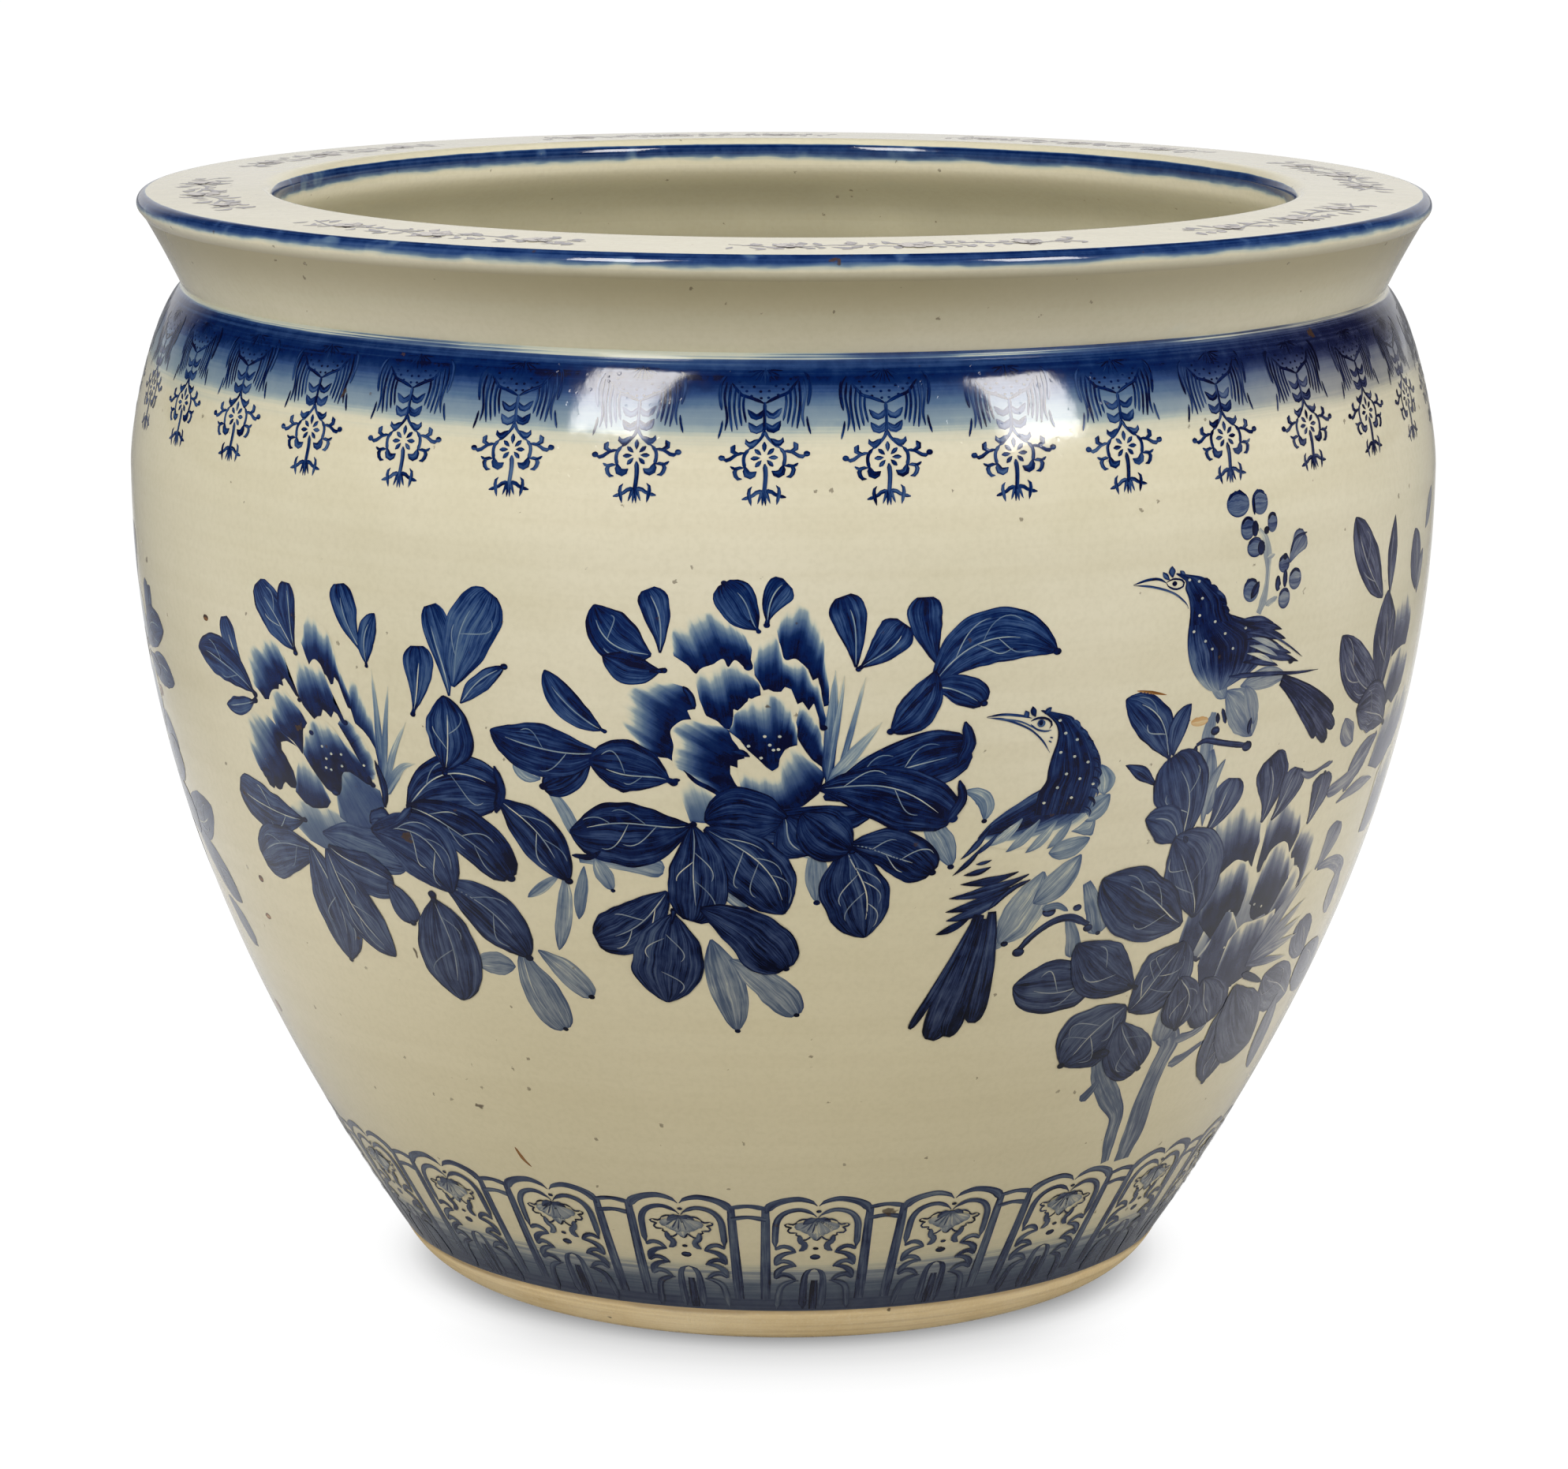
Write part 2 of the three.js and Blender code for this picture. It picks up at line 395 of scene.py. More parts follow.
def glaze_group(name, pale, cool, paint=COBALT, low_paint=GREYED_COBALT, dull_paint=None, painted_shading=None):
    """The glaze with its paint: from the strength of the blue to a colour, a roughness and a normal.

    painted_shading mixes a colour into the glaze as painted shade and painted light: its colour, the height
    where it starts, the shares there and under the rim, and the radius it is beyond.
    """
    group = bpy.data.node_groups.new(name, "ShaderNodeTree")
    group.interface.new_socket("Blue", in_out="INPUT", socket_type="NodeSocketFloat")
    for given, kind in (("Color", "Color"), ("Roughness", "Float"), ("Normal", "Vector")):
        group.interface.new_socket(given, in_out="OUTPUT", socket_type="NodeSocket" + kind)
    tree = Tree(group)
    given = tree.node("NodeGroupInput")
    result = tree.node("NodeGroupOutput")
    place = tree.place()
    clouds = tree.noise(place, 7.0, 4.0, 0.6)
    rings = tree.noise(tree.scaled(place, 3, 3, 130), 1.0, 3.0, 0.6)
    grain = tree.noise(place, 420.0, 2.0)
    height = tree.split(place)[2]
    body = tree.mix(tree.between(clouds, 0.3, 0.7), pale, cool)
    body = tree.mix(tree.between(height, *WARMER_BETWEEN, 0.7, 0.0), body, WARM_GLAZE)
    if painted_shading:
        colour, start, share_at_start, share_at_end, beyond = painted_shading
        # Painted shading: the share of its colour grows from the start height to the rim's underside, fades
        # out near the rim top, and is given only beyond the radius.
        shading_share = tree.between(height, start * MM, RIM_UNDERSIDE * MM, share_at_start, share_at_end)
        shading_share = tree.times(shading_share, tree.between(height, *(v * MM for v in PAINTED_SHADING_ENDS), 1.0, 0.0))
        radius = tree.vector("LENGTH", tree.scaled(place, 1, 1, 0), output="Value")
        shading_share = tree.times(shading_share, tree.math("GREATER_THAN", radius, beyond * MM))
        body = tree.mix(shading_share, body, colour)
    body = tree.mix(tree.between(rings, 0.35, 0.7, 0.0, 0.10), body, linear("#a99c78"))
    body = tree.mix(tree.between(grain, 0.35, 0.75, 0.0, 0.08), body, linear("#8f8768"))
    mottle = tree.noise(place, 140.0, 4.0, 0.65)
    blue = tree.times(given.outputs[0], tree.between(mottle, 0.2, 0.8, 0.9, 1.08), clamp=True)
    low = tree.between(height, *GREYER_BETWEEN, 1.0, 0.0)
    painted = tree.mix(low, tree.ramp(blue, paint), tree.ramp(blue, low_paint))
    if dull_paint:
        right = tree.between(tree.split(place)[0], *DULLER_BETWEEN, 0.0, 0.7)
        painted = tree.mix(right, painted, tree.ramp(blue, dull_paint))
    burnt = tree.between(height, FOOT_TOP * MM, (FOOT_TOP + BURNT_REACH) * MM, 0.3, 0.0)
    painted = tree.mix(tree.times(burnt, blue), painted, linear("#2b2220"))
    colour = tree.mix(tree.times(blue, COVERS, clamp=True), body, painted)
    large = specks(tree, place, 42.0, 0.90, 0.085, 0.03)
    small = specks(tree, place, 150.0, 0.86, 0.12, 0.06)
    iron = tree.times(tree.math("MAXIMUM", large, tree.times(small, SMALL_SPECKS)), LARGE_SPECKS)
    colour = tree.mix(iron, colour, linear("#3d2a18"))
    tree.feed(result.inputs["Color"], colour)
    ripple = tree.noise(place, 55.0, 2.0, 0.45)
    orange_peel = tree.noise(place, 330.0, 2.0, 0.5)
    pits = specks(tree, place, 260.0, 0.55, 0.16, 0.10)
    relief = tree.plus(tree.times(ripple, RIPPLE_HEIGHT), tree.times(orange_peel, PEEL_HEIGHT))
    relief = tree.math("SUBTRACT", relief, tree.times(pits, PIT_DEPTH))
    tree.feed(result.inputs["Normal"], tree.bump(relief, GLAZE_RELIEF))
    sheen = tree.between(mottle, 0.2, 0.8, 0.06, 0.12)
    tree.feed(result.inputs["Roughness"], tree.plus(sheen, tree.times(iron, 0.3)))
    return group


PALE_GLAZE = linear("#d2cdb8")
COOL_GLAZE = linear("#cac5ad")
WARM_GLAZE = linear("#cabf9c")
PAINTED = glaze_group("painted_glaze", PALE_GLAZE, COOL_GLAZE, dull_paint=DULL_COBALT)
# The collar and the underside of the outer lip darken towards the rim: painted shade under the rim's
# overhang.
UNDER_RIM_SHADE = glaze_group("collar_glaze", PALE_GLAZE, COOL_GLAZE,
                     painted_shading=(linear("#8f876a"), NECK_HEIGHT, 0.16, 0.9, NECK_INSIDE))
# The inside wall is the glaze coloured darker, as painted shade, and turns to the outside's pale glaze from
# halfway up the collar to the rim, as painted light.
SHADED_INSIDE = glaze_group("inside_glaze", linear("#b6b29b"), linear("#aba791"),
                     painted_shading=(PALE_GLAZE, (NECK_HEIGHT + RIM_UNDERSIDE) / 2, 0.0, 1.0, 0.0))
ENAMELLED = glaze_group("enamelled_glaze", PALE_GLAZE, COOL_GLAZE, VIOLET, VIOLET)
RUSTED = glaze_group("rusted_glaze", PALE_GLAZE, COOL_GLAZE, RUST, RUST)


def new_material(name, **settings):
    """A material, its node tree and the sockets of its shader, some of them set."""
    material = bpy.data.materials.new(name)
    material.use_nodes = True
    sockets = material.node_tree.nodes["Principled BSDF"].inputs
    for socket, value in settings.items():
        sockets[socket.replace("_", " ")].default_value = value
    return material, Tree(material.node_tree), sockets


def glazed(name, blue_of, group=PAINTED):
    """A glossy glaze. blue_of builds the strength of the blue in the material's tree."""
    material, tree, sockets = new_material(name, IOR=1.5)
    made = tree.node("ShaderNodeGroup", node_tree=group)
    tree.feed(made.inputs["Blue"], blue_of(tree))
    for socket, output in (("Base Color", "Color"), ("Roughness", "Roughness"), ("Normal", "Normal")):
        tree.feed(sockets[socket], made.outputs[output])
    return material


# The strength of each wash at places in millimetres down the surface, from its own start
SHOULDER_WASH = [
    (0.0, 0.10), (1.0, 0.14), (2.2, 0.68), (5, 0.79), (8, 0.88), (12, 0.91), (15, 0.81), (20, 0.48),
    (25, 0.29), (30, 0.19), (35, 0.08), (39, 0.02), (43, 0.0),
]
FOOT_WASH = [
    (-36, 0.0), (-31, 0.05), (-27, 0.14), (-22, 0.29), (-17, 0.43), (-12, 0.51), (-7, 0.57), (0, 0.62),
]
LIP_BAND = [
    (-0.8, 0.0), (-0.2, 0.78), (0.6, 0.84), (2.6, 0.80), (4.2, 0.70), (5.2, 0.42), (6.0, 0.14), (7.6, 0.0),
]


def along_ramp(tree, value, stops):
    """The strength of a wash from stops that give it at places in millimetres."""
    low = stops[0][0]
    high = stops[-1][0]
    share = tree.math("DIVIDE", tree.math("SUBTRACT", value, low), high - low, clamp=True)
    return tree.ramp(share, [((at - low) / (high - low), strength) for at, strength in stops])


def brushed_place(tree, down, round_scale, down_scale):
    """A place for noise that runs in long level streaks, as a brush held to the turning bowl leaves."""
    x, y, _ = tree.split(tree.place())
    return tree.joined(tree.times(x, round_scale), tree.times(y, round_scale), tree.times(down, down_scale))


def body_washes(tree):
    """The wash under the collar and the wash over the foot, both brushed on the turning bowl."""
    down = tree.field("down")
    streaks = tree.noise(brushed_place(tree, down, 2.5, 0.45), 1.0, 4.0, 0.65)
    wander = tree.noise(brushed_place(tree, down, 9.0, 0.02), 1.0, 2.0)
    shift = tree.plus(tree.between(streaks, 0.2, 0.8, -3.0, 3.0), tree.between(wander, 0.2, 0.8, -2.5, 2.5))
    uneven = tree.between(streaks, 0.25, 0.75, 0.86, 1.12)
    upper = along_ramp(tree, tree.plus(down, shift), SHOULDER_WASH)
    from_foot = tree.math("SUBTRACT", down, float(BODY_LENGTH))
    lower = along_ramp(tree, tree.plus(from_foot, tree.times(shift, 1.2)), FOOT_WASH)
    return tree.times(tree.math("MAXIMUM", upper, lower), uneven, clamp=True)


def lip_bands(tree):
    """The blue along both lips, dark where the brush began and thin below."""
    down = tree.field("down")
    ragged = tree.noise(brushed_place(tree, down, 28.0, 0.1), 1.0, 3.0, 0.6)
    streaks = tree.noise(brushed_place(tree, down, 4.0, 0.9), 1.0, 2.0)
    below = tree.between(down, 0.5, 5.0, 0.3, 1.0)
    place = tree.plus(down, tree.times(tree.between(ragged, 0.2, 0.8, -1.0, 1.0), below))
    strength = along_ramp(tree, place, LIP_BAND)
    drips = tree.noise(brushed_place(tree, down, 60.0, 0.06), 1.0, 2.0)
    strength = tree.times(strength, tree.between(drips, 0.58, 0.72, 1.0, 0.55))
    return tree.times(strength, tree.between(streaks, 0.2, 0.8, 0.86, 1.1), clamp=True)


def faint_blue(tree):
    """Almost no blue: a few faint smudges."""
    cloud = tree.noise(tree.scaled(tree.place(), 1, 1, 2.4), 16.0, 3.0, 0.55)
    return tree.between(cloud, 0.66, 0.8, 0.0, 0.09)


def bare_porcelain():
    """Unglazed buff porcelain with fine sand in it, turning marks and burnt stains."""
    material, tree, sockets = new_material("bare_porcelain", Specular_IOR_Level=0.25)
    place = tree.place()
    clouds = tree.noise(place, 14.0, 5.0, 0.65)
    marks = tree.noise(tree.scaled(place, 6, 6, 420), 1.0, 3.0, 0.6)
    grit = tree.noise(place, 900.0, 2.0)
    colour = tree.mix(tree.between(clouds, 0.3, 0.7), linear("#f8e5bb"), linear("#e6cd9a"))
    colour = tree.mix(tree.between(marks, 0.4, 0.75, 0.0, 0.35), colour, linear("#b39461"))
    colour = tree.mix(tree.between(grit, 0.45, 0.75, 0.0, 0.3), colour, linear("#f7ead0"))
    from_glaze = tree.plus(tree.field("down"), tree.between(clouds, 0.2, 0.8, -2.0, 2.0))
    colour = tree.mix(tree.between(from_glaze, 0.0, 3.5, 0.6, 0.0), colour, linear("#7a5a33"))
    colour = tree.mix(tree.times(specks(tree, place, 60.0, 0.8, 0.12, 0.05), 0.8), colour, linear("#3a2614"))
    tree.feed(sockets["Base Color"], colour)
    tree.feed(sockets["Roughness"], tree.between(grit, 0.3, 0.7, 0.72, 0.9))
    height = tree.plus(tree.times(grit, 0.5), marks)
    tree.feed(sockets["Normal"], tree.bump(height, BARE_RELIEF))
    return material


BODY_GLAZE = glazed("body_glaze", body_washes)
RIM_GLAZE = glazed("rim_glaze", lip_bands, UNDER_RIM_SHADE)
COLLAR_GLAZE = glazed("collar_glaze", faint_blue, UNDER_RIM_SHADE)
INSIDE_GLAZE = glazed("inside_wall_glaze", faint_blue, SHADED_INSIDE)
BARE = bare_porcelain()


# The vessel, section by section

def sided(radius_at, heights):
    """The places of a side of the wall at some heights."""
    return np.stack([radius_at(heights), heights], axis=1)


def foot():
    side = curve_points([
        (FOOT_CONTACT_RADIUS, 0),
        (FOOT_CONTACT_RADIUS + FOOT_BULGE[0], FOOT_BULGE[1]),
        (GLAZE_EDGE_RADIUS, FOOT_TOP),
    ], 16)
    inner = [
        (FOOT_INNER_RADIUS, FOOT_TOP),
        (FOOT_INNER_RADIUS, FOOT_CHAMFER),
        (FOOT_INNER_RADIUS + FOOT_CHAMFER, 0),
    ]
    outline = np.vstack([side, inner])
    down = np.concatenate([lengths_along(side)[-1] - lengths_along(side), [FAR_FROM_GLAZE] * len(inner)])
    turned("bare_foot", outline, down, [BARE], [0] * len(outline), "bare_porcelain", "foot_ring")


def slab():
    heights = np.linspace(FOOT_TOP, SLAB_TOP, 9)
    outside = sided(outer_radius, heights)
    floor = [(radius, SLAB_TOP) for radius in np.linspace(outside[-1, 0] - 1, SLAB_EYE, 30)]
    under = [
        (SLAB_EYE, RECESS_HEIGHT),
        (FOOT_INNER_RADIUS / 2, RECESS_HEIGHT),
        (FOOT_INNER_RADIUS - SPIGOT_GAP, RECESS_HEIGHT),
        (FOOT_INNER_RADIUS - SPIGOT_GAP, FOOT_TOP),
    ]
    outline = np.vstack([outside, floor, under])
    down = np.concatenate([drop_at(heights), [NO_PAINT_DOWN] * (len(floor) + len(under))])
    slots = [0] * (len(heights) - 1) + [1] * (len(floor) + 1) + [2] * len(under)
    turned("base_slab_glazed", outline, down, [BODY_GLAZE, INSIDE_GLAZE, BARE], slots, "glaze", "base_slab")


def wall(name, low, high, node):
    """One thrown section: painted glaze outside, plain glaze inside."""
    heights = np.linspace(low, high, max(8, int((high - low) / SECTION_STEP)))
    inside = sided(inner_radius, heights[::-1])
    if low == SLAB_TOP:
        corner_top = SLAB_TOP + INSIDE_CORNER[1]
        foot_radius = outer_radius(SLAB_TOP) - WALL_AT_BASE
        corner = curve_points([
            (inner_radius(corner_top), corner_top),
            (foot_radius, SLAB_TOP + INSIDE_CORNER[1] * INSIDE_CORNER_SHARE),
            (foot_radius - INSIDE_CORNER[0], SLAB_TOP),
        ], 12)
        inside = np.vstack([inside[inside[:, 1] > corner_top], corner])
    outline = np.vstack([sided(outer_radius, heights), inside])
    down = np.concatenate([drop_at(heights), [NO_PAINT_DOWN] * len(inside)])
    slots = [0] * (len(heights) - 1) + [1] * (len(inside) + 1)
    turned(name, outline, down, [BODY_GLAZE, INSIDE_GLAZE], slots, "glaze", node)


def collar():
    """The flaring collar, a little hollow outside, whose inside curves up from the neck to the inner lip."""
    outside = curve_points([
        (NECK_RADIUS, NECK_HEIGHT),
        ((NECK_RADIUS + COLLAR_TOP_RADIUS) / 2 - 2 * COLLAR_HOLLOW, (NECK_HEIGHT + RIM_UNDERSIDE) / 2),
        (COLLAR_TOP_RADIUS, RIM_UNDERSIDE),
    ], 24)
    inside = curve_points([
        (MOUTH_RADIUS, RIM_UNDERSIDE),
        (MOUTH_RADIUS, RIM_UNDERSIDE - COVE_HANDLES[0]),
        (NECK_INSIDE, NECK_HEIGHT + COVE_HANDLES[1]),
        (NECK_INSIDE, NECK_HEIGHT),
    ], 20)
    outline = np.vstack([outside, inside])
    slots = [0] * (len(outside) - 1) + [1] * (len(inside) + 1)
    down = np.full(len(outline), 100.0)
    turned("collar_glazed", outline, down, [COLLAR_GLAZE, INSIDE_GLAZE], slots, "glaze", "collar")


def rim():
    """The flat flange between its two rounded lips."""
    outer_centre = (LIP_RADIUS - OUTER_ROUNDING, RIM_TOP - RIM_FALL - OUTER_ROUNDING)
    inner_centre = (MOUTH_RADIUS + INNER_ROUNDING, RIM_TOP - INNER_ROUNDING)
    outer = arc_points(outer_centre, OUTER_ROUNDING, LIP_UNDERCUT, 90, 20)
    flat = curve_points([outer[-1], (inner_centre[0], RIM_TOP)], 24)[1:-1]
    inner = arc_points(inner_centre, INNER_ROUNDING, 90, 180, 16)
    inner = np.vstack([inner, curve_points([inner[-1], (MOUTH_RADIUS, RIM_UNDERSIDE)], 6)[1:]])
    outline = np.vstack([[(COLLAR_TOP_RADIUS, RIM_UNDERSIDE)], outer, flat, inner])
    outer_length = math.radians(90 - LIP_UNDERCUT) * OUTER_ROUNDING
    outer_down = outer_length - lengths_along(outer) - OUTER_BAND_START
    inner_down = lengths_along(inner) - INNER_BAND_START
    down = np.concatenate([[outer_down[0] + 3], outer_down, np.full(len(flat), ABOVE_BANDS), inner_down])
    turned("rim_glazed", outline, down, [RIM_GLAZE], [0] * len(outline), "rim_glaze", "rim_flange")


foot()
slab()
wall("taper_wall", SLAB_TOP, TAPER_TOP, "taper_section")
wall("belly_wall", TAPER_TOP, BELLY_TOP, "belly_section")
wall("shoulder_wall", BELLY_TOP, NECK_HEIGHT, "shoulder_section")
collar()
rim()


# Painting: strokes are drawn on the unrolled body, at an angle in degrees and a drop from the neck.
# Places are given as pairs of the two, or as one flat run of them.

STROKE_LIFT = 0.05
LAYER_LIFT = 0.017
LEAF_WAVES = (1, 2, 3, 5)  # how often each wave in a leaf's edge repeats along it
MOST_LAYERS = 20
MOST_STROKES = 16000
LEAF_STEP = 1.5
LINE_STEP = 1.6
PETAL_STEP = 0.5
UNROLLED_MARGIN = 0.8
SHELF_SPARE = 1.02
TONE_SPREAD = 0.04
LEAF_END_DARK = 0.12
VEIN_WIDTH = 0.5
VEIN_TONE = 0.22
PETAL_GRAIN = 0.25
PETAL_REACH = 1.14
PETAL_ROWS = 15
KNOT_POINTS = 7
SHORTEST = 1e-6

# Half the width of a leaf along its length, as a share of its widest
SHAPES = {
    "plump": [
        (0, 0.07), (0.08, 0.36), (0.25, 0.78), (0.5, 1.0), (0.72, 0.92), (0.88, 0.6), (0.96, 0.3), (1, 0.05),
    ],
    "fan": [(0, 0.08), (0.15, 0.30), (0.4, 0.66), (0.65, 0.95), (0.82, 1.0), (0.93, 0.82), (1, 0.45)],
    "blade": [(0, 0.12), (0.15, 0.5), (0.4, 0.95), (0.6, 1.0), (0.8, 0.66), (0.93, 0.3), (1, 0.04)],
    "square": [(0, 0.08), (0.12, 0.42), (0.35, 0.83), (0.6, 1.0), (0.82, 0.92), (0.95, 0.66), (1, 0.32)],
    "feather": [(0, 0.35), (0.2, 0.6), (0.5, 0.85), (0.85, 1.0), (0.96, 0.8), (1, 0.35)],
}


def shape_at(shape, t):
    """A smooth curve through a shape's widths, at shares of its length."""
    places, widths = zip(*SHAPES[shape])
    place = np.interp(t, places, np.arange(len(places)))
    low = np.floor(place).astype(int).clip(0, len(places) - 2)
    part = place - low
    widths = np.array(widths)
    slopes = np.gradient(widths)
    start = 2 * part ** 3 - 3 * part ** 2 + 1
    start_slope = part ** 3 - 2 * part ** 2 + part
    end_slope = part ** 3 - part ** 2
    before = start * widths[low] + start_slope * slopes[low]
    return before + (1 - start) * widths[low + 1] + end_slope * slopes[low + 1]


def around_bowl(angle, out, up):
    """Round the bowl at an angle: so far out and so far up."""
    turn = np.radians(angle)
    return np.stack([np.sin(turn) * out, -np.cos(turn) * out, up], axis=-1)


def on_body(angle, drop, lift):
    """Points on the outside of the body and the directions that they face."""
    radius, height = (np.interp(drop, BODY_DROP, line) for line in BODY_LINE.T)
    below = [np.interp(drop + 1, BODY_DROP, line) for line in BODY_LINE.T]
    above = [np.interp(drop - 1, BODY_DROP, line) for line in BODY_LINE.T]
    out, up = (b - a for b, a in zip(below, above))
    length = np.hypot(out, up)
    facing = around_bowl(angle, -up / length, out / length)
    return around_bowl(angle, radius, height) + facing * np.asarray(lift)[..., None], facing


def across_scale(drop):
    """Millimetres to one degree round the body, at a drop."""
    return np.interp(drop, BODY_DROP, BODY_LINE[:, 0]) * math.pi / 180


def columns_at(places, known, table):
    """Each column of a table of places, read at others."""
    return np.stack([np.interp(places, known, table[:, i]) for i in (0, 1)], axis=1)


def smooth_path(points, count):
    """A curve through a few points, spaced evenly along its length."""
    points = np.asarray(points, float)
    if len(points) == 2:
        share = np.linspace(0, 1, count)[:, None]
        return points[0] * (1 - share) + points[1] * share
    ends = np.vstack([2 * points[0] - points[1], points, 2 * points[-1] - points[-2]])
    fine = []
    for i in range(len(points) - 1):
        p0, p1, p2, p3 = ends[i:i + 4]
        t = np.linspace(0, 1, 16, endpoint=False)[:, None]
        fine.append(0.5 * (2 * p1 + (p2 - p0) * t + (2 * p0 - 5 * p1 + 4 * p2 - p3) * t ** 2
                           + (3 * p1 - 3 * p2 + p3 - p0) * t ** 3))
    fine = np.vstack(fine + [points[-1:]])
    along = lengths_along(fine)
    return columns_at(np.linspace(0, along[-1], count), along, fine)


def angled_path(points, count):
    """Straight stretches from point to point, each with the same share of the places."""
    return columns_at(np.linspace(0, len(points) - 1, count), np.arange(len(points)), points)


def sideways(path):
    """The direction across a path, at each of its places."""
    step = np.gradient(path, axis=0)
    return np.stack([step[:, 1], -step[:, 0]], axis=1) / np.maximum(np.hypot(*step.T), SHORTEST)[:, None]


def shelved(sizes):
    """Corners that set rectangles side by side on shelves in a square, and the side of that square."""
    sizes = np.array(sizes)
    order = np.argsort(-sizes[:, 1])
    side = max(math.sqrt((sizes[:, 0] * sizes[:, 1]).sum()) * SHELF_SPARE, sizes.max())
    while True:
        corners = np.zeros_like(sizes)
        x = y = shelf = 0.0
        for i in order:
            if x + sizes[i, 0] > side:
                x = 0.0
                y += shelf
                shelf = 0.0
            shelf = max(shelf, sizes[i, 1])
            corners[i] = x, y
            x += sizes[i, 0]
        if y + shelf <= side:
            return corners, side
        side *= 1.03


class Painting:
    """Strokes of one picture, made into one mesh that lies on the glaze."""

    def __init__(self, seed, shift=0.0, mirror=False, sway=0.0, onto=on_body, scale_at=across_scale):
        self.random = np.random.default_rng(seed)
        self.shift = shift
        self.mirror = mirror
        self.sway = sway
        self.onto = onto
        self.scale_at = scale_at
        self.strokes = []
        self.lows = np.zeros((MOST_STROKES, 2))
        self.highs = np.zeros((MOST_STROKES, 2))
        self.layers = np.zeros(MOST_STROKES, int)

    def to_plane(self, *places):
        """Sheet places in millimetres about the scale at their mean drop, which is kept for the way back."""
        points = np.vstack([np.reshape(np.asarray(p, float), (-1, 2)) for p in places])
        scale = float(self.scale_at(points[:, 1].mean()))
        return points * [scale, 1], scale

    def free_layer(self, low, high):
        """The first layer over all strokes so far that reach into a box."""
        made = len(self.strokes)
        meets = ((low < self.highs[:made]) & (self.lows[:made] < high)).all(axis=1)
        layer = self.layers[:made][meets].max(initial=-1) + 1
        if layer >= MOST_LAYERS:
            layer = MOST_LAYERS // 2 + layer % (MOST_LAYERS // 2)
        self.lows[made] = low
        self.highs[made] = high
        self.layers[made] = layer
        return layer

    def add(self, plane, scale, ink, along, across, edge, grain=1.0):
        """Keeps one stroke given as a grid of places in millimetres."""
        sheet = plane / [scale, 1]
        if self.mirror:
            given = (sheet * [-1, 1], ink, along, across, edge)
            sheet, ink, along, across, edge = (values[:, ::-1] for values in given)
        spread = sheet.reshape(-1, 2)
        layer = self.free_layer(spread.min(axis=0), spread.max(axis=0))
        alike = (self.random.uniform(0, 50), STROKE_LIFT + LAYER_LIFT * layer, grain)
        seed, lift, grain = (np.full(ink.shape, value) for value in alike)
        self.strokes.append((sheet + [self.shift, 0], lift, ink, along, across, edge, seed, grain))

    def strip(self, left, right, columns, scale, ink, edge_end=True):
        """A stroke between two edges with the same number of places. ink takes shares along and across."""
        share_across = np.linspace(0, 1, columns)[None, :, None]
        plane = left[:, None] * (1 - share_across) + right[:, None] * share_across
        length = lengths_along((left + right) / 2)
        width = np.hypot(*(right - left).T)
        shape = (len(left), columns)
        t = np.broadcast_to((length / max(length[-1], SHORTEST))[:, None], shape)
        s = np.broadcast_to(np.linspace(-1, 1, columns)[None], shape)
        along = t * length[-1]
        edge = (1 - np.abs(s)) * width[:, None] / 2
        if edge_end:
            edge = np.minimum(edge, np.minimum(along, length[-1] - along) * 0.7)
        self.add(plane, scale, ink(t, s), along, s * width.max() / 2, edge)

    def filled(self, first, second, columns, ink, count=40):
        """A filled shape between two traced edges that run the same way."""
        places, scale = self.to_plane(first, second)
        left, right = (smooth_path(side, count) for side in np.split(places, [len(first) // 2]))
        self.strip(left, right, columns, scale, ink, edge_end=False)

    def leaf(self, base, tip, width, bend, shape, tone, veins=0, nib=0.0, knot=0.0, wobble=0.05):
        """A leaf in one loaded stroke, with pale veins, and a dark nib or knot where the brush rested."""
        (start, end), scale = self.to_plane(base, tip)
        start = start + self.random.normal(0, self.sway, 2)
        end = end + self.random.normal(0, self.sway, 2)
        way = end - start
        length = math.hypot(*way)
        aside = np.array([way[1], -way[0]]) / length
        count = max(8, int(length * (1 + abs(bend)) / LEAF_STEP))
        middle = (start + end) / 2 + aside * bend * length
        spine = curve_points([start, 2 * middle - (start + end) / 2, end], count)
        t = np.linspace(0, 1, count + 1)
        facing = sideways(spine)
        sides = []
        for side in (1, -1):
            waves = 1 + wobble * sum(
                self.random.normal() * np.sin(2 * math.pi * (k * t + self.random.uniform())) / k
                for k in LEAF_WAVES
            )
            half = width / 2 * shape_at(shape, t) * waves
            sides.append(spine + facing * (side * half)[:, None])
        loaded = self.random.uniform(-0.6, 0.6)
        tone = tone + self.random.uniform(-TONE_SPREAD, TONE_SPREAD) if tone > 0.6 else tone

        def ink(t, s):
            value = tone * (0.90 + 0.10 * loaded * s) + LEAF_END_DARK * eased((t - 0.72) / 0.28)
            return np.clip(value + LEAF_END_DARK * eased((0.25 - t) / 0.25), 0, 1)

        self.strip(*sides, 9 if width > 8 else 5, scale, ink)
        if nib:
            self.blob(end / [scale, 1], nib, nib * 0.8, 0.98)
        if knot:
            inside = spine[min(2, count)]
            back = (start - inside) / max(np.hypot(*(start - inside)), SHORTEST)
            path = smooth_path([spine[min(3, count)], start, start + back * knot], KNOT_POINTS)
            self.line(path, scale, np.linspace(0.6, 1.7, KNOT_POINTS) * knot, 0.97, 0.9)
            self.blob((start + back * knot) / [scale, 1], knot, knot * 0.85, 0.98)
        if veins:
            self.veins(spine, facing, width, scale, veins, shape)

    def veins(self, spine, facing, width, scale, count, shape):
        """A scratched midrib and side veins, each a pale thin line that curves towards the tip."""
        places = np.arange(len(spine))

        def on_leaf(t, aside):
            middle, out = (columns_at(t * places[-1], places, table) for table in (spine, facing))
            return middle + out * (aside * width / 2 * shape_at(shape, t))[:, None]

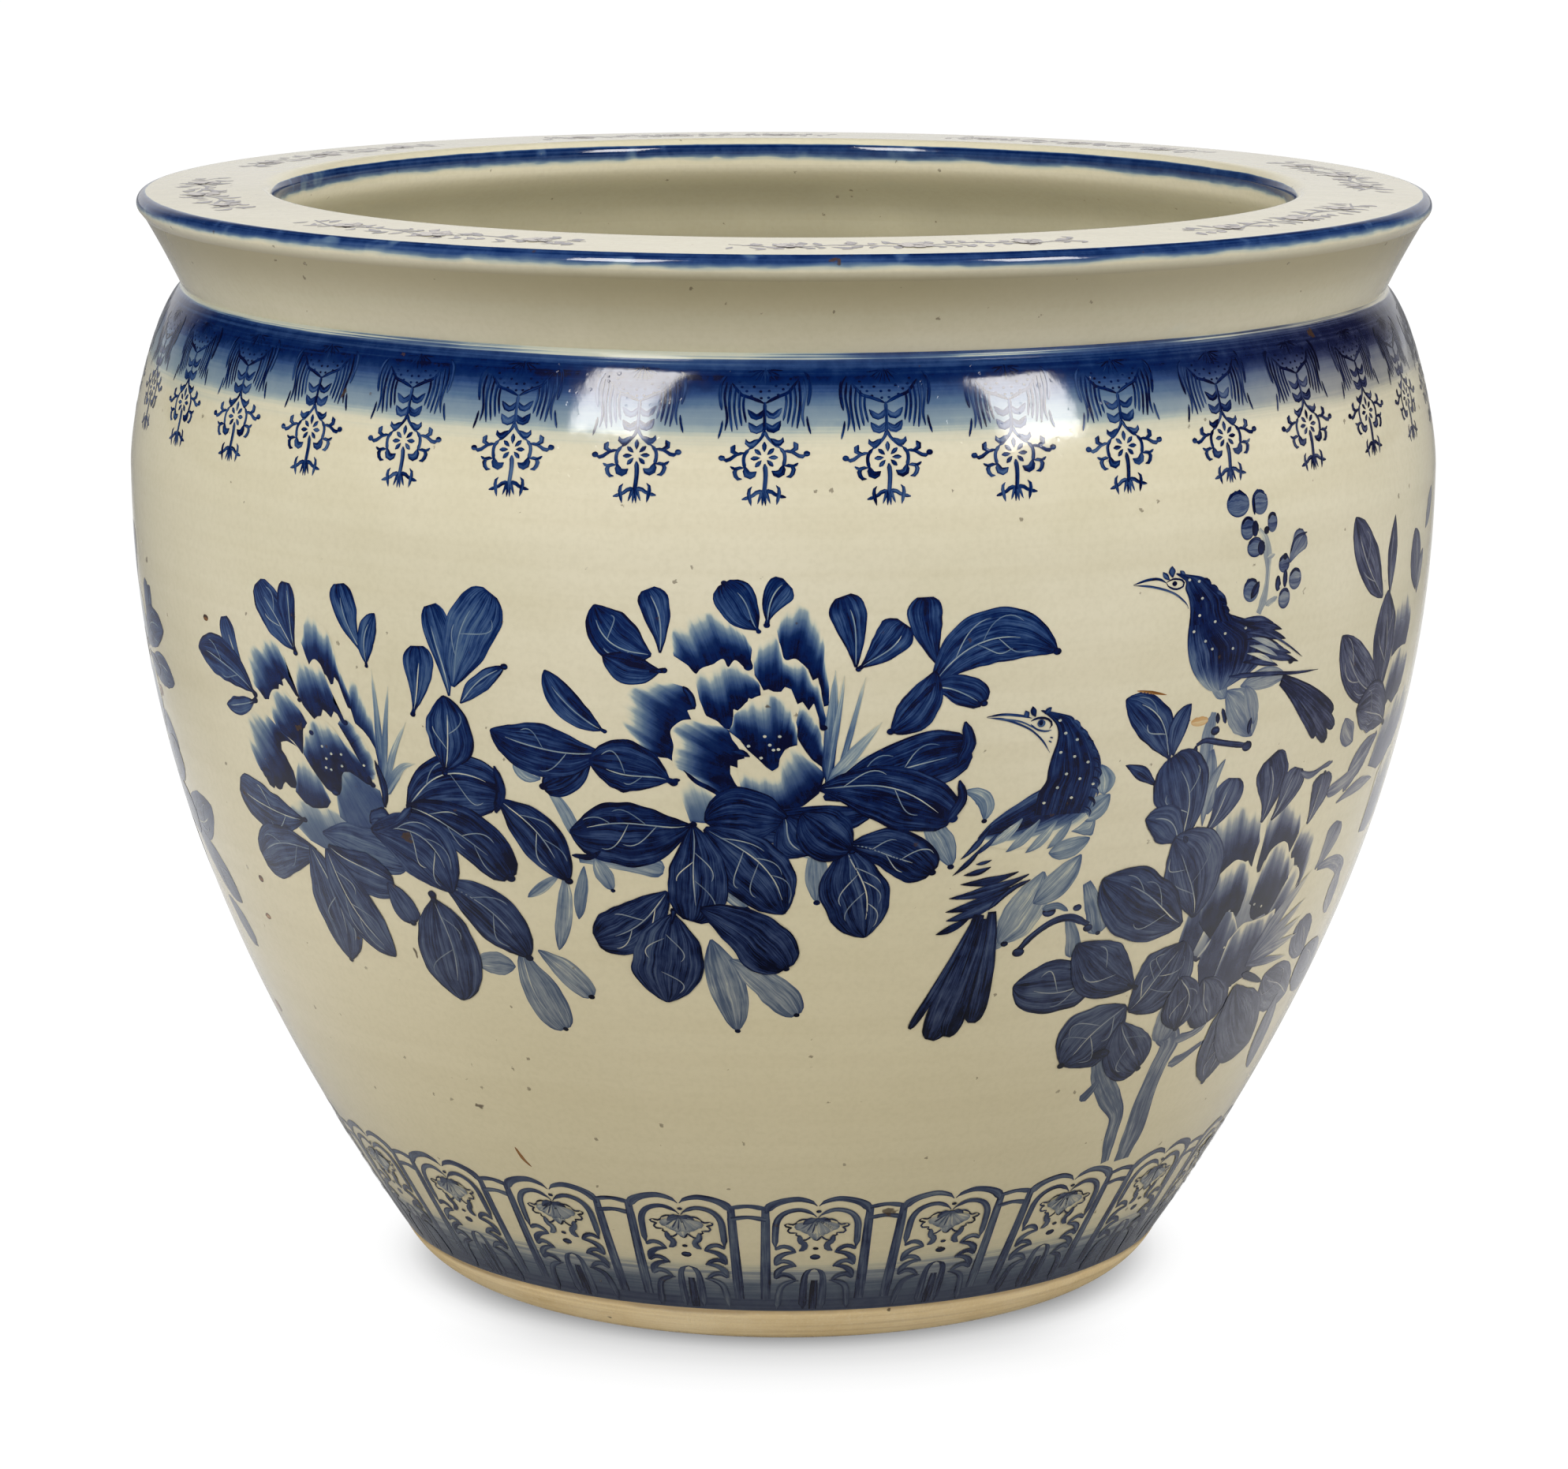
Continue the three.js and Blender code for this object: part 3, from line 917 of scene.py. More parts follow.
        lean = self.random.uniform(-0.25, 0.25)
        bow = self.random.choice([-1, 1]) * self.random.uniform(0.1, 0.35)
        t = np.linspace(0.04, self.random.uniform(0.72, 0.9), 16)
        self.line(on_leaf(t, lean * t + bow * np.sin(math.pi * t)), scale, VEIN_WIDTH, VEIN_TONE)
        ribs = count + 1 if count > 1 else 1
        for k in range(1, ribs):
            side = 1 if k % 2 else -1
            start = 0.08 + 0.66 * k / ribs + self.random.uniform(-0.05, 0.05)
            t = np.linspace(start, min(0.93, start + self.random.uniform(0.22, 0.34)), 11)
            turn = np.linspace(0, math.pi * self.random.uniform(0.45, 0.75), 11)
            rib = lean * t + bow * np.sin(math.pi * t)
            out = np.sin(turn) * self.random.uniform(0.5, 0.8)
            self.line(on_leaf(t, rib * (1 - out) + side * out), scale, VEIN_WIDTH * 0.85, VEIN_TONE + 0.06)

    def line(self, plane, scale, width, tone, taper=0.25, tone_end=None):
        """A thin line through places in millimetres, finer at both ends."""
        count = len(plane)
        t = np.linspace(0, 1, count)
        half = np.broadcast_to(width, (count,)) / 2 * np.clip(np.minimum(t, 1 - t) / 0.12, taper, 1)
        aside = sideways(plane) * half[:, None]
        last = tone if tone_end is None else tone_end

        def ink(t, s):
            return tone + (last - tone) * t

        self.strip(plane + aside, plane - aside, 3, scale, ink, edge_end=False)

    def trail(self, points, width, tone=0.85, taper=0.3, tone_end=None):
        """A brush line through sheet places, of one width or of widths spread along it."""
        plane, scale = self.to_plane(points)
        rough = float(np.hypot(*np.diff(plane, axis=0).T).sum())
        count = max(4, int(rough / LINE_STEP) + 2)
        path = smooth_path(plane, count)
        if np.ndim(width):
            width = np.interp(np.linspace(0, 1, count), np.linspace(0, 1, len(width)), width)
        self.line(path, scale, width, tone, taper, tone_end)

    def blob(self, centre, half_long, half_short, tone=0.8, turn=0.0, rim=0.06):
        """A rounded spot of paint."""
        middle, scale = self.to_plane(centre)
        around = np.linspace(math.pi - 0.15, 0.15, 9 if half_long < 2.5 else 15)
        cosine, sine = math.cos(math.radians(turn)), math.sin(math.radians(turn))
        middle = middle[0] + np.cos(around)[:, None] * half_long * np.array([cosine, sine])
        bulge = (np.sin(around) * half_short)[:, None] * np.array([sine, -cosine])
        uneven = 1 + 0.06 * self.random.normal(size=len(around))[:, None]

        def ink(t, s):
            return np.clip(tone + rim * np.abs(s) ** 4, 0, 1)

        self.strip(middle + bulge * uneven, middle - bulge, 5, scale, ink)

    def petal(self, inner, outer, tone=0.97, hold=0.26, fade=1.0):
        """A petal with a dark ragged inner edge, brushed out to nothing at its outer edge."""
        places, scale = self.to_plane(inner, outer)
        places = places + self.random.normal(0, self.sway, 2)
        inner_plane, outer_plane = np.split(places, [len(inner) // 2])
        width = lengths_along(outer_plane)[-1]
        count = max(30, int(width / PETAL_STEP))
        inner_path = angled_path(inner_plane, count)
        outer_path = inner_path + (smooth_path(outer_plane, count) - inner_path) * PETAL_REACH
        u = np.linspace(0, 1, count)
        height = np.maximum(np.hypot(*(inner_path - outer_path).T), SHORTEST)
        waves = zip((0.09, 0.06, 0.03, 0.012), (16, 8, 4, 1.7), self.random.uniform(0, 1, 4))
        ragged = 1 + sum(
            size * np.sin(2 * math.pi * (width / pitch * u + phase)) for size, pitch, phase in waves
        )
        rows = np.linspace(0, 1, PETAL_ROWS)[None, :]
        plane = inner_path[:, None] * (1 - rows[..., None]) + outer_path[:, None] * rows[..., None]
        v = rows * ragged[:, None]
        strength = tone * (1 - eased((v - hold) / (fade - hold))) + 0.05 * np.exp(-rows * 9)
        side = eased((0.5 - np.abs(u - 0.5)) / 0.10)[:, None]
        strength = strength * (1 - (1 - side) * rows ** 0.6)
        strength[:, -1] = 0
        along = rows * height[:, None]
        across = np.broadcast_to((u * width)[:, None], along.shape)
        edge = np.broadcast_to(rows * height.mean(), along.shape)
        self.add(plane, scale, np.clip(strength, 0, 1), along, across, edge, PETAL_GRAIN)

    def petals(self, rows):
        for row in rows:
            self.petal(*row)

    def leaves(self, rows, load=0.0):
        """Leaves from rows of base, tip, width, bend, shape, tone, veins, nib and knot.

        load is more blue on the brush.
        """
        for row in rows:
            width, bend, shape, tone = row[4:8]
            self.leaf(row[:2], row[2:4], width, bend, shape, tone + load, *row[8:])

    def alike(self, rows, *look, wobble=0.05):
        """Leaves that share their look, from rows of base, tip and width."""
        for *ends, width in rows:
            self.leaf(ends[:2], ends[2:], width, *look, wobble=wobble)

    def trails(self, rows):
        for row in rows:
            self.trail(*row)

    def blades(self, base, rows):
        """Grassy strokes that start together and fade at their tips."""
        for *places, width, tone in rows:
            self.trail([*base, *places], [width * 0.8, width, 0.8], tone, tone_end=0.08)

    def spots(self, rows, tone=0.98):
        for *place, size in rows:
            self.blob(place, size, size * 0.78, tone)

    def white_dots(self, *places, size=0.7):
        for place in np.reshape(places, (-1, 2)):
            self.blob(place, size, size * 0.8, 0.12, rim=0)

    def object(self, name, material, slot="glaze"):
        """Makes the mesh, with each stroke's own place in the unrolled square."""
        sizes = [[np.ptp(side) + UNROLLED_MARGIN for side in stroke[3:5]] for stroke in self.strokes]
        corners, side = shelved(sizes)
        points, facings, faces, unrolled = [], [], [], []
        values = {key: [] for key in ("ink", "along", "across", "edge", "seed", "grain")}
        start = 0
        for (sheet, lift, *kept), corner in zip(self.strokes, corners):
            rows, columns = lift.shape
            point, facing = self.onto(sheet[..., 0], sheet[..., 1], lift)
            points.append(point.reshape(-1, 3))
            facings.append(facing.reshape(-1, 3))
            for key, value in zip(values, kept):
                values[key].append(np.asarray(value).ravel())
            index = start + np.arange(rows * columns).reshape(rows, columns)
            square = [index[:-1, :-1], index[:-1, 1:], index[1:, 1:], index[1:, :-1]]
            quads = np.stack(square, axis=-1).reshape(-1, 4)
            row, column = rows // 2, columns // 2
            a, b, c = point[row - 1, column - 1], point[row - 1, column], point[row, column - 1]
            if np.dot(np.cross(b - a, c - a), facing[row, column]) < 0:
                quads = quads[:, ::-1]
            place = np.stack([way - way.min() for way in kept[1:3]], axis=-1).reshape(-1, 2)
            place = (place + UNROLLED_MARGIN / 2 + corner) / side
            faces.append(quads)
            unrolled.append(place[quads - start].reshape(-1, 2))
            start += rows * columns
        piece = mesh_object(name, np.vstack(points), np.vstack(faces).tolist())
        piece.data.normals_split_custom_set_from_vertices(np.vstack(facings).tolist())
        set_unrolled(piece, "OFBake", np.vstack(unrolled))
        for key, value in values.items():
            set_values(piece, key, np.concatenate(value))
        piece.data.materials.append(material)
        stands_for(piece, slot)


def brushed(tree):
    """The blue in a stroke: streaks along the brush, a dark rim, and ragged where it is thin."""
    fields = (tree.field(name) for name in ("ink", "along", "across", "seed", "grain", "edge"))
    ink, along, across, seed, grain, edge = fields
    fine = tree.noise(tree.joined(tree.times(across, 1.5), tree.times(along, 0.06), seed), 1.0, 3.0, 0.65)
    wide = tree.noise(tree.joined(tree.times(across, 0.42), tree.times(along, 0.035), seed), 1.0, 2.0)
    pools = tree.noise(tree.place(), 95.0, 3.0, 0.6)
    streak = tree.plus(tree.between(fine, 0.28, 0.72, -0.6, 0.5), tree.between(wide, 0.3, 0.7, -0.5, 0.5))
    streak = tree.plus(streak, tree.between(pools, 0.3, 0.7, -0.2, 0.2))
    thin = tree.times(ink, tree.math("SUBTRACT", 1.36, ink))
    varied = tree.plus(ink, tree.times(tree.times(streak, thin), tree.times(grain, 0.6)))
    rim = tree.times(tree.between(edge, 0.15, 1.1, 0.14, 0.0), tree.between(ink, 0.22, 0.5))
    return tree.plus(varied, rim, clamp=True)


BRUSHED = glazed("brushed_glaze", brushed)
WORN = glazed("worn_enamel", brushed, ENAMELLED)
STAINED = glazed("iron_stain", brushed, RUSTED)


# Borders, repeated round the bowl

PENDANTS = 35
PENDANT_START = -1.75
PENDANT_TILT = -0.28
PENDANT_DRIFT = 0.12
PENDANT_TONE = 0.72
LAPPETS = 22
LAPPET_START = 4.35
LAPPET_TONE = 0.61
RIM_SPRIGS = 8
RIM_SPRIG_START = 11
SPRIG_TONE = 0.96
SPRIG_STEP = 0.72
DEGREE_ON_RIM = 4.4  # millimetres to one degree along the middle of the rim


def mirrored_pair(draw, centre, tilt=0.0):
    """Draws the same thing on both sides of a centre line, a little lower on one side where it tilts."""
    for side in (-1, 1):
        def at(*places):
            x, y = np.reshape(places, (-1, 2)).T
            return np.stack([centre + side * x, y + tilt * side * x], axis=1)

        draw(at)


def pendant(painting, centre):
    """A stamped beaded hanging: tassels and a canopy over a daisy in a ring of curls."""
    dark = PENDANT_TONE

    def half(at):
        for x, y in [(0.45, 13), (0.85, 12), (1.2, 10.4), (1.45, 8.4)]:
            painting.trail(at(0.2 * x, 7.8, x, y), 0.6, 0.9)
        for x, y in [(0.9, 14.4), (1.5, 16), (0.35, 16.4), (2.1, 12), (1.1, 18), (1.9, 14.2), (0.3, 19)]:
            painting.blob(at(x, y), 0.6, 0.5, 0.9)
        canopy = at(0, 21.3, 0.5, 20, 1.2, 18.6, 1.9, 17.4, 2.3, 15.2, 2.75, 12.4)
        painting.trail(canopy, [1, 1.4, 1.3, 1.3, 1.1, 0.9], 0.9)
        for width, *tassel in [
            (1.0, 1.7, 17.5, 1.75, 22, 1.5, 28.3), (1.1, 2.05, 15.5, 2.1, 22, 1.85, 29.5),
            (1.0, 2.4, 14.3, 2.5, 22, 2.2, 31), (1.1, 2.8, 13, 2.9, 21, 2.62, 31.5),
            (1.0, 3.15, 12, 3.3, 18, 3.05, 26, 3.2, 31), (1.3, 3.2, 9.4, 3.6, 12, 3.7, 17, 3.5, 23),
            (0.9, 3.42, 27, 3.5, 30, 3.72, 34),
        ]:
            painting.trail(at(*tassel), width, 0.86, tone_end=0.74)
        for y, size, thick in [(25.6, 1.4, 2.4), (30.6, 1.3, 3.0)]:
            swag = at(0.02, y - 2.2, 0.35, y + 0.2, 0.85, y + 0.5, size, y - 2.4)
            painting.trail(swag, [1.2, thick, thick * 1.05, 1.0], 0.76)
        painting.trails([
            (at(0, 31.4, 0.2, 34, 0.7, 36.6, 1.25, 38.6), [1.6, 1.2, 1.3, 1.5], dark),
            (at(0.5, 34.8, 1.0, 36.8, 1.4, 36.2, 1.5, 34.6), [1.0, 2.6, 2.2, 0.8], 0.76),
            (at(1.2, 38.4, 1.58, 40.6, 1.64, 43.2, 1.5, 46), [1.5, 1.4, 1.4, 1.7], dark),
            (at(1.5, 45.2, 1.4, 47.8, 1.0, 48.6, 0.6, 47.2), [1.6, 3.0, 3.0, 1.0], 0.78),
            (at(1.55, 39.8, 2.2, 40.4, 2.9, 42.4, 3.35, 41.8), [1.3, 1.2, 1.5, 1.6], dark),
        ])
        painting.blob(at(3.4, 41.4), 1.3, 1.1, 0.74)
        painting.trails([
            (at(2.0, 40, 2.45, 39.6, 2.55, 38.2, 2.35, 36.6), [1.1, 1.6, 2.4, 1.4], 0.76),
            (at(1.6, 45.6, 2.15, 45.6, 2.35, 47.4, 2.1, 49.6, 1.75, 49.8), [1.1, 1.4, 1.8, 1.6, 1.0], dark),
            (at(2.1, 46.0, 2.45, 45.6, 2.7, 44.8), [0.9, 1.0, 1.4], dark),
        ])
        for x, y in [(0.78, 38.7), (1.1, 42.2), (0.72, 45.5)]:
            ray = at(0.3 * x, 42 + 0.3 * (y - 42), 0.7 * x, 42 + 0.7 * (y - 42), x, y)
            painting.trail(ray, [0.6, 1.9, 1.5], dark)
        painting.trails([
            (at(0, 54.8, 0.55, 55.1, 1.0, 56.6, 1.75, 57.6), [1.8, 1.6, 1.3, 1.5], dark),
            (at(0.95, 52.8, 1.2, 54.4, 1.15, 57, 1.0, 60.2), [0.8, 1.5, 1.5, 0.7], dark),
            (at(0.3 * 0.14, 55, 0.14, 60.4), [1.6, 0.6], dark),
            (at(0.3 * 0.5, 55, 0.5, 59.6), [1.6, 0.6], dark),
        ])

    mirrored_pair(half, centre, PENDANT_TILT)
    painting.trails([
        ((centre, 7, centre, 13.4), 0.6, 0.9),
        ((centre, 20.6, centre, 26, centre, 32.4), [1.6, 1.2, 1.4], dark),
        ((centre, 36, centre, 37.6, centre, 39.9), [1.5, 2.0, 0.7], dark),
        ((centre + 0.04, 44.4, centre + 0.12, 49, centre, 56), [1.9, 1.7, 1.6], dark),
    ])


def lappet(painting, centre):
    """A panel of the lower border: a double lobed frame with curls, a hanging flower and a small arch."""
    dark = LAPPET_TONE

    def half(at):
        outer_lobe = at(0.1, 373.6, 0.8, 371.2, 2.2, 369.6, 3.6, 370.2, 4.8, 371.8, 5.7, 374.2, 6.1, 378)
        inner_lobe = at(
            0.1, 380, 0.6, 378, 1.8, 375.8, 3.1, 376.2, 4.2, 378.6, 4.85, 383, 5.0, 389,
            5.05, 395, 5.0, 399.2,
        )
        painting.trails([
            (at(6.15, 374, 6.2, 390, 6.3, 410, 6.4, 430), [3.4, 3.8, 4.4, 4.8], dark, 0.9),
            (outer_lobe, [1.4, 2.2, 2.9, 3.1, 3.4, 4.2, 3.6], dark),
            (inner_lobe, [1.6, 2.0, 2.3, 2.5, 2.8, 3.0, 2.9, 2.8, 2.0], dark),
            (at(5.05, 399.2, 4.2, 397.2, 3.3, 397.8, 2.5, 400.4), [1.6, 2.4, 2.4, 1.4], dark, 0.6),
        ])
        for low in (408.6, 416.8):
            painting.trails([
                (at(2.4, low - 8, 3.7, low - 7.2, 4.65, low - 4.6, 5.05, low),
                 [1.3, 2.4, 3.2, 1.8], dark, 0.6),
                (at(5.05, low, 4.3, low - 2.4, 3.3, low - 2.0, 2.35, low + 0.8),
                 [1.6, 2.6, 2.4, 1.3], dark, 0.6),
            ])
        painting.trail(at(2, 418, 3.2, 418.8, 4.2, 421.5, 4.6, 427, 4.9, 436), [1.4, 2.6, 2.8, 3, 3], dark)
        for scallop in [
            (0.0, 393.8, 0.35, 392.6, 0.6, 390.8), (0.6, 390.8, 1.0, 392.6, 1.6, 393.6, 1.9, 392),
            (1.9, 390.6, 2.5, 390.8, 2.4, 389), (2.4, 389, 3.3, 389, 3.5, 387.2, 3.0, 386),
            (3.0, 386, 3.9, 385, 3.6, 383.6), (3.6, 383.6, 2.8, 384.2, 2.4, 382.6),
            (2.5, 382.6, 1.7, 381, 0.8, 381.4),
        ]:
            painting.trail(at(*scallop), 0.9, 0.78)
        for x, y, width in [(0.9, 390, 6), (1.7, 388.6, 6), (2.6, 386.4, 4)]:
            painting.leaf(at(0.2 * x, 382.4), at(x, y), width, 0.0, "fan", 0.24)
        for x, y in [(0.5, 389), (1.2, 388), (1.9, 386.4)]:
            painting.trail(at(0.4 * x, 383, x, y), [0.5, 0.9], 0.5)
        stalk = at(2.05, 390.4, 1.95, 394, 1.4, 395.8, 1.5, 398.4, 2.1, 399.8)
        painting.trails([
            (at(0.2, 381, 1.0, 382, 1.7, 384), [3.2, 3.4, 1.4], 0.6),
            (stalk, [2.0, 2.5, 2.8, 2.8, 1.6], dark),
            (at(0, 410.8, 0.7, 412, 1.15, 415, 1.3, 422, 1.3, 436), [1.8, 2.6, 3.2, 3.4, 3.6], dark),
        ])

    mirrored_pair(half, centre)
    painting.leaf((centre, 382.6), (centre, 393.4), 7, 0, "plump", 0.26, wobble=0.02)
    for x, y, half_long, half_short, tone, edge in [
        (0, 382.6, 3.0, 2.2, 0.62, 0.06), (0.1, 376.6, 1.1, 0.8, 0.84, 0.06),
        (0, 398.4, 1.2, 0.8, 0.84, 0.06), (0, 403.7, 2.2, 1.6, 0.78, 0.16),
    ]:
        painting.blob((centre + x, y), half_long, half_short, tone, rim=edge)
    middle = centre + 0.1
    painting.trail((middle, 418, middle, 425, middle, 436), [3.0, 3.4, 3.6], 0.76, 0.9)
    gap = 360 / LAPPETS
    for drop in (374.4, 380.8):
        bar = (centre + 6.1, drop + 0.6, centre + 0.5 * gap, drop - 0.6, centre + gap - 6.1, drop + 0.8)
        painting.trail(bar, [2.6, 2.6 * 0.8, 2.6 * 1.2], dark, 0.8)


def on_rim_top(angle, drop, lift):
    """Points on the flat of the rim, where a drop is measured inwards from the outer lip."""
    radius = LIP_RADIUS - drop
    first = MOUTH_RADIUS + INNER_ROUNDING
    share = (radius - first) / (LIP_RADIUS - OUTER_ROUNDING - first)
    points = around_bowl(angle, radius, RIM_TOP - RIM_FALL * share.clip(0, 1) + np.asarray(lift))
    return points, np.broadcast_to(np.array([0.0, 0.0, 1.0]), points.shape)


def rim_scale(drop):
    return (LIP_RADIUS - drop) * math.pi / 180


def rim_sprig(painting, centre):
    """A worn spray of flowers and curling leaves in violet grey that lies along the rim."""
    stem = np.array([(-16, 31), (-11, 24), (-6, 30), (0, 25), (6, 31), (11, 24), (16, 29)])
    painting.trail(stem + [centre, 0], 1.6, SPRIG_TONE, 0.6)
    for k, x in enumerate(centre + np.arange(-15.5, 16, SPRIG_STEP)):
        side = 1 if k % 2 else -1
        y = 27.5 + side * painting.random.uniform(0, 4)
        reach = side * painting.random.uniform(4.5, 9)
        lean = painting.random.uniform(-0.9, 0.9)
        curl = (x, y, x + 1.5 * lean + 0.35, y + reach * 0.6, x + lean, y + reach)
        widths = [0.8, painting.random.uniform(2.6, 5.2), 0.9]
        painting.trail(curl, widths, SPRIG_TONE * painting.random.uniform(0.55, 1.0))
    for x, y, size in [(centre - 10.5, 29, 6), (centre + 0.8, 27, 7.4), (centre + 11.4, 28, 6)]:
        for turn in np.radians(360 / 7 * np.arange(7) + 15):
            tip = (x + size * math.cos(turn) / DEGREE_ON_RIM, y + size * math.sin(turn))
            painting.leaf((x, y), tip, size * 0.62, 0, "fan", 0.34)
            reach = size * 0.9
            side = (x + reach * math.cos(turn + 0.5) / DEGREE_ON_RIM, y + reach * math.sin(turn + 0.5))
            painting.trail((x, y, *side), 0.7, SPRIG_TONE)
        painting.blob((x, y), 1.4, 1.2, SPRIG_TONE)


# Pictures, each place an angle and a drop

NECK_END = 0.98


def neck_ink(tone, rise, fall, solid):
    """Dark paint that thins towards one side, beyond the share of the width that stays solid."""
    def ink(t, s):
        thin = eased((np.abs(s) - solid) / (1 - solid)) * (s > 0)
        return np.clip(tone + rise * t - fall * thin, 0, NECK_END)

    return ink


def neck_feathers(painting, drops, known, sides, stroke, width):
    """Short feathers down the back of a neck, whose side is known at a few drops."""
    for drop in drops:
        place = (np.interp(drop, known, sides), drop)
        painting.trail(np.reshape(stroke, (-1, 2)) + place, [width, 1.4, 0.5], 0.8)


def left_head(painting):
    painting.petals([
        ((-46.4, 214, -44, 217, -40, 217, -37, 213), (-49, 205, -46.6, 198.5, -43, 199, -40, 202, -38, 203),
         0.52, 0.3, 1.2),
        ((-41.6, 200, -40, 204, -38, 203, -36.6, 199, -36, 192, -36.2, 185), (-41.6, 192, -40.8, 185,
         -39.6, 180.5, -38.4, 180, -37.2, 183), 0.62, 0.62, 1.2),
        ((-47, 193, -46, 197, -45, 198.5, -44, 198, -43, 197, -42.4, 194), (-46.4, 184, -45.4, 179.5,
         -44.6, 181, -43.6, 184, -42.8, 189), 0.93, 0.15, 1.1),
        ((-38.4, 150, -38, 157.5, -37.2, 160, -36.6, 163, -36.1, 167, -35.9, 176), (-38.2, 140, -37.4, 143,
         -36.8, 148, -36.3, 153, -36, 158, -35.7, 166), 0.88, 0.1),
        ((-40, 159, -39, 166, -38, 174, -37.2, 181), (-39.4, 156, -38.4, 159, -37.4, 165, -36.6, 173,
         -36.4, 180), 0.9, 0.2, 1.1),
        ((-43.3, 129, -43, 133, -42.6, 137, -42.5, 143, -42.2, 138.5, -41.8, 135.5, -41.2, 138.5,
         -40.7, 139.5, -40.3, 143, -40, 142.5, -39.8, 139.5, -39.4, 141.5, -39, 147, -38.6, 151.5,
         -38.2, 152, -38, 148), (-43.5, 127, -42.8, 121, -42, 118, -41.2, 120, -40.2, 124, -39.6, 130,
         -39.1, 138, -38.3, 145)),
        ((-49.8, 152, -49.2, 155, -48.4, 154.5, -47.9, 158, -47.3, 158, -47.2, 154, -46.9, 147,
         -46.3, 147.5, -46.4, 145, -46, 144, -45.4, 147, -44.8, 150.5, -44.3, 151.5, -44.6, 148,
         -45.4, 143), (-50.6, 150, -50.8, 143, -50, 136, -48.8, 132, -47.2, 131, -46, 133.5, -45.6, 138),
         0.96),
        ((-51.8, 187, -51, 190, -50.8, 193, -50.2, 194, -49.8, 192, -49, 193.5, -48.6, 191, -48.2, 189.5,
         -47.6, 191.5, -46.9, 191.5, -46.6, 189, -46.7, 184, -47.2, 180, -47.4, 178, -47.9, 176, -47.8, 172,
         -46.9, 171, -45.6, 172.5, -45, 174.5), (-52.5, 182, -52.6, 175, -51.8, 168, -50.6, 163, -49.4, 162,
         -48.4, 164), 0.98, 0.24),
        ((-44.4, 150, -44, 154, -43.3, 157, -42.8, 159, -42.4, 157.5, -41.9, 157, -41.6, 154, -41.2, 155,
         -40.7, 157, -40.3, 154, -39.9, 155, -39.5, 158.5, -39, 158.5, -39.3, 155.5, -40.2, 150),
         (-44.7, 143, -43.9, 137.5, -42.8, 139, -42, 136.5, -41.2, 137.5, -40.6, 143, -40.2, 147)),
        ((-48, 166, -47, 168.5, -46, 170.5, -45.4, 173, -45, 175.5, -44.7, 171, -44.5, 165, -44.3, 163.5,
         -43.6, 164.8, -43.4, 164, -43.9, 160.5, -44.3, 157.5), (-48.6, 160, -48, 155, -46.6, 151,
         -45.6, 152, -44.8, 155)),
        ((-44.9, 175, -44.2, 180, -43.4, 184.5, -42.6, 188.5, -41.8, 190, -41.1, 190, -40.7, 187,
         -40.4, 181, -40.1, 179.5, -39.4, 179, -38.6, 180.5, -37.6, 183, -36.8, 183.5, -37, 180, -38, 174),
         (-44.7, 171, -44, 166, -42.8, 163, -41.6, 161.5, -40.6, 163, -39.6, 167, -38.4, 171), 0.98, 0.38,
         1.04),
    ])
    painting.blades((-35.8, 187), [
        (-35.5, 156, -35.6, 134, 3.6, 0.8), (-34.8, 160, -34, 140, 3.0, 0.6),
        (-34.2, 168, -32.5, 154, 3.2, 0.45), (-33.6, 174, -32, 171, 4.5, 0.5),
    ])
    painting.trail((-36.3, 172, -35.7, 183, -35.9, 192), [1.5, 4, 2.5], 0.97)
    painting.spots([
        (-44.4, 152, 1.2), (-43.4, 165, 1.4), (-39.1, 158, 1.5), (-36.9, 183, 1.4), (-50.8, 188, 3.2),
        (-49.4, 192, 2.4), (-41.6, 189, 2.2),
    ])
    painting.white_dots(-42.3, 170, -41.3, 172.5, -42, 175, -42.2, 179, -41.6, 179.5, -40.1, 172,
        -37.6, 175, -40.2, 177)


def left_upper_leaves(painting):
    painting.leaves([
        (-51.4, 152, -54.2, 124, 11, 0.06, "fan", 0.8, 1),
        (-50.8, 153, -59.6, 141, 18, -0.1, "plump", 0.88, 2, 0, 1.6),
        (-50.9, 157, -55.6, 162, 8, 0.05, "plump", 0.8, 1, 0, 1.5),
        (-44.4, 131, -48.6, 106, 17, 0.02, "square", 0.84, 2),
        (-44.3, 131, -44.9, 104, 11, 0.05, "fan", 0.88, 1, 0, 1.4),
        (-36.6, 127, -38.6, 101, 13, 0.05, "fan", 0.8, 1, 0, 1),
        (-36.1, 132, -34.9, 111, 9, 0.1, "plump", 0.8, 1, 0, 0.9),
        (-28, 141, -29.4, 105, 13, -0.04, "fan", 0.8, 1),
        (-27.6, 137, -23.8, 98, 22, 0.04, "square", 0.74, 2),
        (-31.6, 149, -30.8, 122, 14, -0.06, "fan", 0.8, 1, 0, 1.3),
        (-27, 143.5, -22.8, 127, 7.5, 0.04, "plump", 0.76, 1, 1.6),
    ])


def far_left_leaves(painting):
    painting.leaves([
        (-75, 150, -72, 125, 13, 0.05, "plump", 0.84, 1),
        (-76, 164, -67.5, 163, 15, 0.08, "plump", 0.84, 2),
        (-79, 190, -71.5, 195, 18, 0.08, "plump", 0.8, 2),
        (-76, 228, -65, 215, 22, -0.06, "plump", 0.8, 3, 0, 1.4),
        (-75, 235, -65.5, 260, 20, 0.05, "plump", 0.78, 3),
        (-71, 262, -66.5, 281, 14, 0.05, "square", 0.76, 1, 1.4),
    ])


